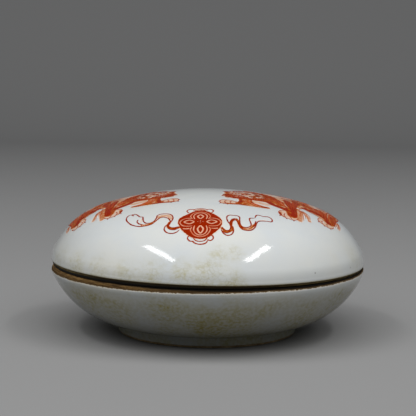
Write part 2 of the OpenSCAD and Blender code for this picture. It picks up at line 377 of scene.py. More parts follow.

    # The glaze's edge: a line where it stands in a roll, olive on the lid and cream on the box, where the cream is
    # partly the glaze's own pale edge and partly a painted highlight on the roll; and then the brown of the clay.
    reach = add("ShaderNodeAttribute", attribute_name="edge_mm")["Fac"]
    ragged = add("ShaderNodeTexNoise", {"Vector": place, "Scale": 1.6, "Detail": 5.0, "Roughness": 0.7})[0]
    ragged = add("ShaderNodeMapRange", {0: ragged, 1: 0.35, 2: 0.65, 3: 0.0, 4: 0.3})[0]
    above = add("ShaderNodeMath", {0: height, 1: SEAT_Z}, operation="GREATER_THAN")[0]
    ragged = add("ShaderNodeMix", {0: above, 2: ragged, 3: 0.06}, data_type="FLOAT")[0]
    past = add("ShaderNodeMath", {0: reach, 1: ragged}, operation="SUBTRACT")[0]
    line = add("ShaderNodeMix", {0: above, 6: linear("#dccdb2"), 7: linear("#a39c62")}, data_type="RGBA")[2]
    cream = add("ShaderNodeMapRange", {0: past, 1: 0.26, 2: 0.1, 3: 0.0, 4: 0.7})[0]
    colour = add("ShaderNodeMix", {0: cream, 6: colour, 7: line}, data_type="RGBA")[2]
    rim = add("ShaderNodeMapRange", {0: past, 1: 0.08, 2: 0.0})[0]
    colour = add("ShaderNodeMix", {0: rim, 6: colour, 7: linear("#4f3a1c")}, data_type="RGBA")[2]

    # The glassy skin, duller where it is washed with red or thins out.
    rough = add("ShaderNodeMapRange", {0: cover, 3: 0.09, 4: 0.26})[0]
    rough = add("ShaderNodeMix", {0: rim, 2: rough, 3: 0.6}, data_type="FLOAT")[0]
    # Waves 9 mm long from throwing, and orange peel 0.8 mm across.
    wave = add("ShaderNodeTexNoise", {"Vector": place, "Scale": 1 / 9, "Detail": 2.0})[0]
    peel = add("ShaderNodeTexNoise", {"Vector": place, "Scale": 1 / 0.8, "Detail": 2.0})[0]
    bump = add("ShaderNodeBump", {"Height": wave, "Distance": 0.00025, "Strength": 0.35})[0]
    bump = add("ShaderNodeBump", {"Height": peel, "Distance": 0.00001, "Strength": 0.25, "Normal": bump})[0]
    sockets = {"Base Color": colour, "Roughness": rough, "IOR": 1.5, "Normal": bump}
    if washed:
        sockets["Specular IOR Level"] = 0.05
    surface = add("ShaderNodeBsdfPrincipled", sockets)[0]
    add("ShaderNodeOutputMaterial", {"Surface": surface})
    return material


def biscuit_clay():
    """Unglazed fired clay: dry and slightly rough, buff inside, stained brown where hands and paste reach it.

    The seam between the lid and the box is painted black, as shade.
    """
    material, add = new_finish("biscuit clay")
    place = object_mm(add)
    part = add("ShaderNodeSeparateXYZ", {0: place})
    across, height = part["X"], part["Z"]
    # The painted seam shade, and the split between the lid's and the box's colours, lie lower on the right, as if the
    # lid sat a little askew.
    height = add("ShaderNodeMath", {0: across, 1: 0.012, 2: height}, operation="MULTIPLY_ADD")[0]
    flat = add("ShaderNodeVectorMath", {0: place, 1: (1, 1, 0)}, operation="MULTIPLY")[0]
    radius = add("ShaderNodeVectorMath", {0: flat}, operation="LENGTH")[1]

    # Inside the mouth and on the foot the clay is buff, with brown blotches 5 mm across.
    blotch = add("ShaderNodeTexNoise", {"Vector": place, "Scale": 0.22, "Detail": 5.0, "Roughness": 0.65})[0]
    blotch = add("ShaderNodeMapRange", {0: blotch, 1: 0.38, 2: 0.68})[0]
    inside = add("ShaderNodeMix", {0: blotch, 6: linear("#b59d76"), 7: linear("#7d6340")}, data_type="RGBA")[2]

    # The lips, either side of the seam, are brown with dark streaks 3 mm long; the lid's is lighter olive, partly its
    # own colour and partly painted light on a lip that faces down. Painted seam shade covers them black, thin on the
    # right and at the far left of the lid and on the left of the box.
    streak = add("ShaderNodeVectorMath", {0: place, 1: (0.3, 0.3, 3.2)}, operation="MULTIPLY")[0]
    streak = add("ShaderNodeTexNoise", {"Vector": streak, "Scale": 1.0, "Detail": 4.0, "Roughness": 0.7})[0]
    lid_unshaded = add("ShaderNodeMapRange", {0: across, 1: 12, 2: 40}, interpolation_type="SMOOTHSTEP")[0]
    sockets = {0: across, 1: -30, 2: -46, 3: 0.0, 4: 0.85}
    lid_left = add("ShaderNodeMapRange", sockets, interpolation_type="SMOOTHSTEP")[0]
    lid_unshaded = add("ShaderNodeMath", {0: lid_unshaded, 1: lid_left}, operation="MAXIMUM")[0]
    sockets = {0: across, 1: 8, 2: -34, 3: 0.15, 4: 1.0}
    box_unshaded = add("ShaderNodeMapRange", sockets, interpolation_type="SMOOTHSTEP")[0]
    above = add("ShaderNodeMath", {0: height, 1: SEAT_Z}, operation="GREATER_THAN")[0]
    unshaded = add("ShaderNodeMix", {0: above, 2: box_unshaded, 3: lid_unshaded}, data_type="FLOAT")[0]
    streak = add("ShaderNodeMapRange", {0: streak, 1: 0.36, 2: 0.6})[0]
    bare = add("ShaderNodeMix", {0: above, 6: linear("#806339"), 7: linear("#b09a60")}, data_type="RGBA")[2]
    bare = add("ShaderNodeMix", {0: streak, 6: linear("#3a2611"), 7: bare}, data_type="RGBA")[2]
    # Painted shade: the lips' colour where the seam shade covers them.
    lip_shade = add("ShaderNodeMix", {0: above, 6: linear("#1a1008"), 7: linear("#30260f")}, data_type="RGBA")[2]
    lips = add("ShaderNodeMix", {0: unshaded, 6: lip_shade, 7: bare}, data_type="RGBA")[2]
    outer = add("ShaderNodeMapRange", {0: radius, 1: 46.6, 2: 48.6})[0]
    colour = add("ShaderNodeMix", {0: outer, 6: inside, 7: lips}, data_type="RGBA")[2]

    # Grog and pits, 0.3 to 0.6 mm across.
    grain = add("ShaderNodeTexNoise", {"Vector": place, "Scale": 2.2, "Detail": 6.0, "Roughness": 0.7})[0]
    tone = add("ShaderNodeMapRange", {0: grain, 1: 0.3, 2: 0.7, 3: 0.62, 4: 1.35})[0]
    colour = add("ShaderNodeVectorMath", {0: colour, "Scale": tone}, operation="SCALE")[0]
    # Painted shade: the crack of the seam itself is painted black.
    off = add("ShaderNodeMath", {0: height, 1: SEAT_Z}, operation="SUBTRACT")[0]
    off = add("ShaderNodeMath", {0: off}, operation="ABSOLUTE")[0]
    off = add("ShaderNodeMath", {0: grain, 1: -0.5, 2: off}, operation="MULTIPLY_ADD")[0]
    seam = add("ShaderNodeMapRange", {0: off, 1: 0.4, 2: 0.1})[0]
    seam = add("ShaderNodeMath", {0: seam, 1: outer}, operation="MULTIPLY")[0]
    colour = add("ShaderNodeMix", {0: seam, 6: colour, 7: linear("#0c0804")}, data_type="RGBA")[2]

    # Turning rings, about 0.7 mm apart.
    rings = add("ShaderNodeMath", {0: radius, 1: height}, operation="ADD")[0]
    rings = add("ShaderNodeTexNoise", {"W": rings, "Scale": 1.4, "Detail": 2.0}, noise_dimensions="1D")[0]
    bump = add("ShaderNodeBump", {"Height": rings, "Distance": 0.00012, "Strength": 0.5})[0]
    bump = add("ShaderNodeBump", {"Height": grain, "Distance": 0.0001, "Strength": 0.6, "Normal": bump})[0]
    sockets = {"Base Color": colour, "Roughness": 0.85, "IOR": 1.45, "Normal": bump}
    surface = add("ShaderNodeBsdfPrincipled", sockets)[0]
    add("ShaderNodeOutputMaterial", {"Surface": surface})
    return material


def iron_red_enamel():
    """Iron red overglaze enamel: rouge in a lead flux, brushed on the fired glaze and fired again at a low heat.

    It is a thin film with a soft gloss, darker where the brush has left more, at both sides of a stroke.
    """
    material, add = new_finish("iron red enamel")
    place = object_mm(add)
    tone = add("ShaderNodeAttribute", attribute_name="tone")["Fac"]
    across = add("ShaderNodeAttribute", attribute_name="across")["Fac"]
    side = add("ShaderNodeMath", {0: across, 1: across}, operation="MULTIPLY")[0]
    # The load of the brush changes every 2 mm or so.
    load = add("ShaderNodeTexNoise", {"Vector": place, "Scale": 0.5, "Detail": 3.0})[0]
    load = add("ShaderNodeMath", {0: load, 1: 0.5}, operation="SUBTRACT")[0]
    tone = add("ShaderNodeMath", {0: load, 1: 0.45, 2: tone}, operation="MULTIPLY_ADD")[0]
    tone = add("ShaderNodeMath", {0: side, 1: 0.12, 2: tone}, operation="MULTIPLY_ADD")[0]
    thin = add("ShaderNodeMapRange", {0: tone, 1: 0.05, 2: 0.5})[0]
    colour = add("ShaderNodeMix", {0: thin, 6: linear("#dba98c"), 7: linear("#b84c0c")}, data_type="RGBA")[2]
    thick = add("ShaderNodeMapRange", {0: tone, 1: 0.45, 2: 1.0})[0]
    colour = add("ShaderNodeMix", {0: thick, 6: colour, 7: linear("#861b00")}, data_type="RGBA")[2]
    sockets = {"Base Color": colour, "Roughness": 0.3, "IOR": 1.5, "Specular IOR Level": 0.08}
    surface = add("ShaderNodeBsdfPrincipled", sockets)[0]
    add("ShaderNodeOutputMaterial", {"Surface": surface})
    return material


# Turning


def turned_tree():
    """A profile line turned about the Z axis, as on a potter's wheel, with a glaze edge that wanders a little."""
    if "turned_form" in bpy.data.node_groups:
        return bpy.data.node_groups["turned_form"]
    tree, add, given = new_tree(
        "turned_form",
        [("Segments", "Int"), ("Edge wander", "Float"), ("Edge lean", "Float"), ("Seed", "Float"),
         ("Finish", "Material")],
    )
    rows = add("GeometryNodeAttributeDomainSize", {"Geometry": given["Geometry"]}, component="MESH")[0]
    columns = add("FunctionNodeIntegerMath", {0: given["Segments"], 1: 1}, operation="ADD")[0]
    grid = add("GeometryNodeMeshGrid", {"Vertices X": columns, "Vertices Y": rows})["Mesh"]
    index = add("GeometryNodeInputIndex")[0]
    row = add("FunctionNodeIntegerMath", {0: index, 1: rows}, operation="MODULO")[0]
    column = add("FunctionNodeIntegerMath", {0: index, 1: rows}, operation="DIVIDE_FLOOR")[0]
    turn = add("ShaderNodeMath", {0: column, 1: given["Segments"]}, operation="DIVIDE")[0]
    angle = add("ShaderNodeMath", {0: turn, 1: 2 * math.pi}, operation="MULTIPLY")[0]
    across = add("ShaderNodeMath", {0: angle}, operation="COSINE")[0]
    back = add("ShaderNodeMath", {0: angle}, operation="SINE")[0]

    # The profile point that each grid point is turned from.
    point = add("GeometryNodeInputPosition")[0]
    sockets = {"Geometry": given["Geometry"], "Value": point, "Index": row}
    point = add("GeometryNodeSampleIndex", sockets, data_type="FLOAT_VECTOR")[0]
    part = add("ShaderNodeSeparateXYZ", {0: point})
    hold = add("GeometryNodeInputNamedAttribute", {"Name": "edge_hold"}, data_type="FLOAT")[0]
    hold = add("GeometryNodeSampleIndex", {"Geometry": given["Geometry"], "Value": hold, "Index": row})[0]
    reach = add("GeometryNodeInputNamedAttribute", {"Name": "edge_mm"}, data_type="FLOAT")[0]
    reach = add("GeometryNodeSampleIndex", {"Geometry": given["Geometry"], "Value": reach, "Index": row})[0]

    # Where the glaze edge runs: a slow wander, a quick one, and a lean to one side.
    ring = add("ShaderNodeCombineXYZ", {0: across, 1: back})[0]
    sockets = {"Vector": ring, "W": given["Seed"], "Scale": 3.5, "Detail": 3.0}
    slow = add("ShaderNodeTexNoise", sockets, noise_dimensions="4D")[0]
    sockets = {"Vector": ring, "W": given["Seed"], "Scale": 40.0, "Detail": 3.0}
    quick = add("ShaderNodeTexNoise", sockets, noise_dimensions="4D")[0]
    both = add("ShaderNodeMath", {0: quick, 1: 0.35, 2: slow}, operation="MULTIPLY_ADD")[0]
    both = add("ShaderNodeMath", {0: both, 1: 0.675}, operation="SUBTRACT")[0]
    lean = add("ShaderNodeMath", {0: across, 1: given["Edge lean"]}, operation="MULTIPLY")[0]
    shift = add("ShaderNodeMath", {0: both, 1: given["Edge wander"], 2: lean}, operation="MULTIPLY_ADD")[0]

    x = add("ShaderNodeMath", {0: part["X"], 1: across}, operation="MULTIPLY")[0]
    y = add("ShaderNodeMath", {0: part["X"], 1: back}, operation="MULTIPLY")[0]
    z = add("ShaderNodeMath", {0: shift, 1: hold, 2: part["Z"]}, operation="MULTIPLY_ADD")[0]
    place = add("ShaderNodeCombineXYZ", {0: x, 1: y, 2: z})[0]
    shape = add("GeometryNodeSetPosition", {"Geometry": grid, "Position": place})[0]
    sockets = {"Geometry": shape, "Name": "edge_mm", "Value": reach}
    shape = add("GeometryNodeStoreNamedAttribute", sockets, data_type="FLOAT", domain="POINT")[0]
    shape = add("GeometryNodeMergeByDistance", {"Geometry": shape, "Distance": 1e-6})[0]
    shape = add("GeometryNodeRealizeInstances", {"Geometry": shape})[0]
    shape = add("GeometryNodeSetMaterial", {"Geometry": shape, "Material": given["Finish"]})[0]
    add("NodeGroupOutput", {"Geometry": shape})
    return tree


def turned(name, profile, reach, finish, segments, wander=0.0, lean=0.0, seed=0.0):
    """Turns a profile of radius and height into a closed form. reach is each point's distance from its edge."""
    profile, reach = np.asarray(profile), np.asarray(reach, float)
    mesh = new_mesh(name, np.stack([profile[:, 0], profile[:, 0] * 0, profile[:, 1]], 1))
    store(mesh, "edge_mm", reach)
    store(mesh, "edge_hold", np.clip(1 - reach / 3.5, 0, 1) ** 1.5)
    values = {"Segments": segments, "Edge wander": wander * MM, "Edge lean": lean * MM, "Seed": seed,
              "Finish": finish}
    obj = grown(put(name, mesh), turned_tree(), values)
    face_out(obj)
    return obj


def glaze_profile(outline, mouth, edges):
    """The closed section of a coat of glaze, and each point's distance from the edge at the mouth.

    edges tells whether the outline starts and ends at a glaze edge, and mouth which of the two is at the
    mouth: 0 the start and 1 the end. The coat thickens a little there.
    """
    length = outline.length
    s = stops_along(length, edges[0], edges[1])
    from_mouth = length - s if mouth else s
    outer = np.stack(outline.at(s, -0.05 * np.exp(-(((from_mouth - 0.55) / 0.4) ** 2))), 1)
    inner = np.stack(outline.at(s, GLAZE_T), 1)
    turn = np.radians([30, 60, 90, 120, 150])
    lap, depth = GLAZE_T / 2 * np.sin(turn), GLAZE_T / 2 * (1 - np.cos(turn))
    points, reach = [outer], [from_mouth]
    if edges[1]:
        points.append(np.stack(outline.at(length + lap, depth), 1))
        reach.append(np.full(5, from_mouth[-1]))
    points.append(inner[::-1])
    reach.append(from_mouth[::-1])
    if edges[0]:
        points.append(np.stack(outline.at(-lap[::-1], depth[::-1]), 1))
        reach.append(np.full(5, from_mouth[0]))
    points.append(outer[:1])
    reach.append(from_mouth[:1])
    return np.concatenate(points), np.concatenate(reach)


def lip_points(side, r, up):
    """The rounded lip of the clay, from the flat seat to the side arc. up is 1 for the lid and -1 for the box."""
    reach = r - GLAZE_T - LIP_R
    end = up * arc_sine(LIP_R - abs(side[1] - SEAT_Z), reach)
    return arc_points(*further(side, reach, end), LIP_R, -90 * up, end)


def lid_clay_profile():
    """The section of the lid's clay: under the outside glaze, round the lip, up the mouth and under the lining."""
    under_glaze = np.stack(LID.at(stops_along(LID.length), GLAZE_T), 1)
    under_lining = np.stack(DOME.at(stops_along(DOME.length), GLAZE_T), 1)
    mouth = arc_points(MOUTH_R + MOUTH_EDGE, SEAT_Z + MOUTH_EDGE, MOUTH_EDGE, 270, 180)
    # The straight mouth, with its upper edge eased into the dome.
    top = [(MOUTH_R - in_by, SEAT_Z + up) for in_by, up in ((0, 2), (0, 4), (0, 5.35), (0.03, 5.5))]
    return np.concatenate([under_glaze, lip_points(LID_SIDE, LID_SIDE_R, 1)[::-1], mouth, top, under_lining[::-1]])


def box_clay_profile():
    """The section of the box's clay, from the middle of the well out over the collar and down to the foot ring."""
    under_lining = np.stack(WELL.at(stops_along(WELL.length), GLAZE_T), 1)
    edge = COLLAR_T / 3
    collar_r, collar_z = MOUTH_R - COLLAR_FIT, SEAT_Z + COLLAR_H
    collar = [
        arc_points(WELL_R + GLAZE_T + edge, collar_z - edge, edge, 180, 90),
        arc_points(collar_r - edge, collar_z - edge, edge, 90, 0),
        # Down to the seat, with a small radius in the corner.
        [(collar_r + out, SEAT_Z + up) for out, up in ((0, 2), (0, 0.25), (0.07, 0.07), (0.25, 0))],
    ]
    under_glaze = np.stack(BOX.at(stops_along(BOX.length), GLAZE_T), 1)
    foot = [
        arc_points(FOOT_R - FOOT_EDGE, FOOT_EDGE, FOOT_EDGE, 0, -90),
        arc_points(FOOT_R - FOOT_W + FOOT_EDGE, FOOT_EDGE, FOOT_EDGE, -90, -180),
    ]
    recess = np.stack(RECESS.at(stops_along(RECESS.length), GLAZE_T), 1)
    parts = [under_lining[::-1], *collar, lip_points(BOX_SIDE, BOX_SIDE_R, -1), under_glaze, *foot, recess]
    points = np.concatenate(parts)
    return np.concatenate([points, points[:1]])


# Seal paste


def cinnabar_paste(colour):
    """Seal paste: ground cinnabar in castor oil, worked into mugwort floss. Thick, oily and a little fibrous."""
    material, add = new_finish("cinnabar seal paste")
    place = object_mm(add)
    ridge = add("ShaderNodeAttribute", attribute_name="ridge")["Fac"]
    # Floss: tangled streaks about 1 mm across, with finer ones in them.
    sockets = {"Vector": place, "Scale": 0.9, "Detail": 6.0, "Roughness": 0.75, "Distortion": 1.5}
    floss = add("ShaderNodeTexNoise", sockets)[0]
    # Painted shade: the paste is darker in the spiral's grooves and where its ridges die away, and lighter on the
    # ridges.
    depth = add("ShaderNodeMath", {0: ridge, 1: 0.35, 2: floss}, operation="MULTIPLY_ADD")[0]
    depth = add("ShaderNodeMapRange", {0: depth, 1: 0.4, 2: 0.95})[0]
    colour = add("ShaderNodeMix", {0: depth, 6: linear("#8e1710"), 7: colour}, data_type="RGBA")[2]
    rough = add("ShaderNodeMapRange", {0: floss, 1: 0.3, 2: 0.7, 3: 0.28, 4: 0.5})[0]
    bump = add("ShaderNodeBump", {"Height": floss, "Distance": 0.00025, "Strength": 0.6})[0]
    sockets = {"Base Color": colour, "Roughness": rough, "IOR": 1.48, "Normal": bump}
    surface = add("ShaderNodeBsdfPrincipled", sockets)[0]
    add("ShaderNodeOutputMaterial", {"Surface": surface})
    return material


def paste_mound(finish, turns, ridge_mm):
    """A kneaded mound that fills the bottom of the well. A spatula has drawn a spiral in it."""
    rounds, rows, edge_r, above_glaze = 288, 110, 41.2, 0.02
    angle = np.linspace(0, 2 * np.pi, rounds, endpoint=False)
    part = np.linspace(0, 1, rows + 1)[1:]
    ease = 1 - (1 - part) ** 1.3
    edge = edge_r + 0.25 * np.sin(3 * angle + 0.6) + 0.2 * np.sin(7 * angle + 2.1)
    radius = ease[:, None] * edge
    mound_r = (WELL_R**2 + PASTE_RISE**2) / (2 * PASTE_RISE)
    mound = PASTE_TOP_Z - mound_r + np.sqrt(mound_r**2 - radius**2)
    bottom = np.where(
        radius > WELL_X,
        WELL_Z - np.sqrt(np.maximum(WELL_CORNER_R**2 - (radius - WELL_X) ** 2, 0)),
        FLOOR_Z + FLOOR_R - np.sqrt(FLOOR_R**2 - radius**2),
    )
    bottom = bottom + above_glaze
    # The spiral's ridges are steep on their outer side, and die away at the middle and at the edge.
    share = radius / 41
    swirl = (turns * share - angle / (2 * np.pi) + 0.12 * np.sin(2 * angle + 5 * share)) % 1
    ridge = np.where(swirl < 0.72, swirl / 0.72, (1 - swirl) / 0.28)
    ridge = ridge**1.4 * (0.75 + 0.25 * np.sin(3 * angle + radius / 6))
    fade = np.clip(radius / 7, 0, 1) * np.clip((edge_r - radius) / 5, 0, 1)
    top = mound - ridge_mm + ridge_mm * ridge * fade + (ridge_mm * 0.5) * np.exp(-((radius / 4) ** 2))
    # The edge rolls down onto the glaze of the well.
    gap = edge - radius
    roll = np.sqrt(np.clip(1 - (1 - np.clip(gap / 2.2, 0, 1)) ** 2, 0, 1))
    top = bottom + (np.minimum(top, PASTE_TOP_Z - 0.05) - bottom) * roll
    circle = [(radius * np.cos(angle), radius * np.sin(angle), z) for z in (top, bottom)]
    points = [(0, 0, PASTE_TOP_Z - ridge_mm * 0.5), (0, 0, FLOOR_Z + above_glaze)]
    for x, y, z in circle:
        points += list(zip(x.ravel(), y.ravel(), z.ravel()))
    faces = []
    for side in (0, 1):
        first = 2 + side * rows * rounds
        for i in range(rounds):
            j = (i + 1) % rounds
            inner = [(side, first + i, first + j)]
            for k in range(rows - 1):
                a, b = first + k * rounds, first + (k + 1) * rounds
                inner.append((a + i, b + i, b + j, a + j))
            faces += [f[::-1] for f in inner] if side else inner
    last = 2 + (rows - 1) * rounds
    under = last + rows * rounds
    faces += [(last + i, under + i, under + (i + 1) % rounds, last + (i + 1) % rounds) for i in range(rounds)]
    mesh = new_mesh("paste_mound", points, faces)
    height = np.concatenate([[0.5, 0], (ridge * fade).ravel(), np.zeros(rows * rounds)])
    store(mesh, "ridge", height)
    obj = put("paste_mound", mesh)
    mesh.materials.append(finish)
    bm = bmesh.new()
    bm.from_mesh(mesh)
    bmesh.ops.remove_doubles(bm, verts=bm.verts, dist=1e-7)
    bm.to_mesh(mesh)
    bm.free()
    face_out(obj)
    return obj


# Painting. It is laid out flat: u runs to the right and v to the back, in millimetres along the glaze
# from the top of the crown. Every stroke is drawn there, and then laid on the lid.


def through(points, step=0.3):
    """A smooth curve through points, as points about one step apart."""
    p = np.asarray(points, float)
    p = np.vstack([2 * p[0] - p[1], p, 2 * p[-1] - p[-2]])
    curve = []
    for a, b, c, d in zip(p[:-3], p[1:-2], p[2:-1], p[3:]):
        count = max(2, int(np.ceil(np.linalg.norm(c - b) / step)))
        t = np.arange(count)[:, None] / count
        square, cube = 2 * a - 5 * b + 4 * c - d, 3 * b - a - 3 * c + d
        curve.append(0.5 * (2 * b + (c - a) * t + square * t**2 + cube * t**3))
    return np.vstack([*curve, p[-2:-1]])


class Painting:
    """Lines of enamel and soft washes under them, gathered stroke by stroke."""

    def __init__(self, seed):
        self.lines, self.washes = [], []
        self.random = np.random.default_rng(seed)
        self.lay = lambda p: p

    def line(self, points, width=0.36, tone=0.85, start=0.12, end=0.35):
        """One stroke of a loaded brush. start and end are the shares of its length over which it swells and thins."""
        p = through(self.lay(np.asarray(points, float)))
        run = np.concatenate([[0], np.cumsum(np.linalg.norm(np.diff(p, axis=0), axis=1))])
        total = run[-1]
        swell = np.clip(run / max(start * total, width / 2), 0, 1)
        thin = np.clip((total - run) / max(end * total, width / 2), 0, 1)
        phase = self.random.uniform(0, 6.3, 2)
        press = 1 + 0.1 * np.sin(run * 1.7 + phase[0]) + 0.06 * np.sin(run * 4.1 + phase[1])
        half = width / 2 * np.sqrt(1 - (1 - swell) ** 2) * np.sqrt(1 - (1 - thin) ** 2) * press
        self.lines.append((p, np.maximum(half, 0.004), np.full(len(p), tone)))

    def wash(self, points, width, density):
        """A soft stroke of thinned red. A negative density lifts red off again."""
        self.washes.append((through(self.lay(np.asarray(points, float)), 0.6), width / 2, density, False))

    def fill(self, outline, density):
        """A closed outline filled with red."""
        self.washes.append((through(self.lay(np.asarray([*outline, outline[0]], float)), 0.4), 0.0, density, True))

    def combed(self, first, last, count, width=0.3, tone=0.8, stray=0.25, end=0.6):
        """Hairs side by side, from one guide line to another with as many points."""
        first, last = np.asarray(first, float), np.asarray(last, float)
        for t in (np.arange(count) + 0.5) / count:
            t = t + self.random.uniform(-0.35, 0.35) / count
            hair = first + (last - first) * t + self.random.normal(0, stray, (1, 2)) * 0.5
            hair[-1] += (hair[-1] - hair[-2]) * self.random.uniform(-0.4, 0.15)
            hair[0] += (hair[1] - hair[0]) * self.random.uniform(0, 0.35)
            hair[1:-1] += self.random.normal(0, stray * 0.4, hair[1:-1].shape)
            self.line(hair, width * self.random.uniform(0.7, 1.25), tone + self.random.uniform(-0.22, 0.12), 0.25,
                      end)

    def curl(self, centre, r, turns, first, width=0.34, tone=0.85):
        """A spiral that winds in to its centre. Negative turns wind the other way."""
        t = np.linspace(0, 1, 9 + int(abs(turns) * 6))
        angle = math.radians(first) + 2 * math.pi * turns * t
        reach = r * (1 - 0.88 * t**0.9)
        self.line(np.stack([centre[0] + reach * np.cos(angle), centre[1] + reach * np.sin(angle)], 1), width, tone,
                  0.1, 0.2)

    def ringlet(self, centre, r, turns, first, width, tone, density):
        """A curl of hair with red under it."""
        circle = [(centre[0] + r * math.cos(a), centre[1] + r * math.sin(a)) for a in np.linspace(0, 5.5, 8)]
        self.fill(circle, density)
        self.curl(centre, r, turns, first, width, tone)

    def lock(self, points, width, density=0.5, tone=0.85, hairs=1):
        """A lock of hair: red between two lines that meet at its tip, with hairs along it."""
        p = through(points, 0.7)
        way = np.gradient(p, axis=0)
        way /= np.linalg.norm(way, axis=1, keepdims=True)
        t = np.linspace(0, 1, len(p))
        half = width / 2 * np.sin(np.pi * (0.3 + 0.7 * t)) ** 0.7
        off = np.stack([-way[:, 1], way[:, 0]], 1) * half[:, None]
        if density:
            self.fill([*(p + off), *(p - off)[::-1]], density)
        self.line(p + off, 0.3, tone, 0.1, 0.3)
        self.line(p - off, 0.36, tone + 0.08, 0.1, 0.3)
        for i in range(hairs):
            self.line(p + off * (-0.5 + (i + 1) / (hairs + 1)) * 1.4, 0.24, tone - 0.15, 0.3, 0.6)


def paint_ball(work):
    """The brocade ball: solid red, with four petals left in pale lines, in a scalloped frame."""
    cu, cv = -2.7, -36.1
    work.fill([(-9.6, -36.3), (-9.0, -33.2), (-6.6, -30.5), (-4.9, -28.6), (-2.7, -27.6), (-0.6, -28.4), (1.2, -30.3),
               (3.2, -33.2), (3.9, -36.2), (3.2, -39.4), (1.2, -42.2), (-0.5, -43.9), (-2.7, -44.4), (-5, -43.8),
               (-6.6, -42.6), (-8.6, -39.6)], 1.0)
    for tip, v, drop in ((1, -32.5, 1.45), (-1, -40.1, 1.9)):
        # An upright petal: a lozenge in two rings.
        lozenge = [(cu, v + drop), (cu + 0.85, v), (cu, v - drop), (cu - 0.85, v), (cu, v + drop)]
        work.line(lozenge, 0.48, 0.08, 0.01, 0.01)
        for r, top, foot, tone in ((2.05, 2.7, 1.9, 0.16), (3.0, 3.4, 1.2, 0.3)):
            arch = [(-0.85 * r, -foot), (-r, 0.3), (-0.66 * r, 0.75 * top), (0, top), (0.66 * r, 0.75 * top),
                    (r, 0.3), (0.85 * r, -foot)]
            work.line([(cu + x, v + tip * y) for x, y in arch], 0.36, tone, 0.05, 0.05)
    for tip in (-1, 1):
        # A petal to the side: a long lozenge in an eye, and a line under it.
        for points, width, tone in (
            ([(1.8, 0), (3.3, 1.15), (4.9, 0.1), (3.3, -1.1), (1.8, 0)], 0.46, 0.1),
            ([(2.2, 2.0), (3.6, 2.5), (5.2, 1.9), (6.2, 0), (5.4, -1.9), (3.9, -2.4), (2.4, -2.3)], 0.34, 0.24),
            ([(3.2, -3.6), (4.4, -3.65), (5.4, -3.4)], 0.4, 0.16),
        ):
            work.line([(cu + tip * x, cv + y) for x, y in points], width, tone, 0.05, 0.05)
    for x, y in ((-0.8, 0), (0.8, 0), (0, 0.8), (0, -0.8), (0, 0)):
        work.line([(cu + x - 0.2, cv + y), (cu + x + 0.2, cv + y)], 0.32, 0.2, 0.3, 0.3)
    # The scalloped frame above and below.
    for points in (
        [(-6.2, -29.8), (-6.9, -28.2), (-6.3, -26.9), (-5.1, -26.8), (-4.6, -27.8)],
        [(-4.9, -27.3), (-4.1, -26.5), (-2.8, -26.2), (-1.5, -26.5), (-0.7, -27.3)],
        [(-0.9, -27.8), (-0.4, -26.8), (0.7, -26.9), (1.2, -28.2), (0.6, -29.8)],
        [(-6.1, -42.7), (-6.6, -43.9), (-5.9, -45.0), (-4.6, -45.2)],
        [(-5.2, -45.1), (-4.2, -46.0), (-2.7, -46.4), (-1.1, -46.0), (-0.4, -44.9)],
        [(-0.6, -44.6), (0.4, -45.0), (1.2, -44.2), (1.1, -43.2), (0.2, -42.7)],
    ):
        work.line(points, 0.42, 0.72, 0.05, 0.05)
    for points in (
        [(-4.5, -28.1), (-3.8, -27.3), (-2.8, -27.0), (-1.8, -27.3), (-1.1, -28.1)],
        [(-4.9, -43.9), (-4.0, -45.0), (-2.7, -45.3), (-1.4, -45.0), (-0.5, -43.9)],
    ):
        work.line(points, 0.34, 0.66, 0.05, 0.05)
    work.wash([(-3.8, -27.3), (-2.8, -27), (-1.8, -27.3)], 1.2, 0.3)


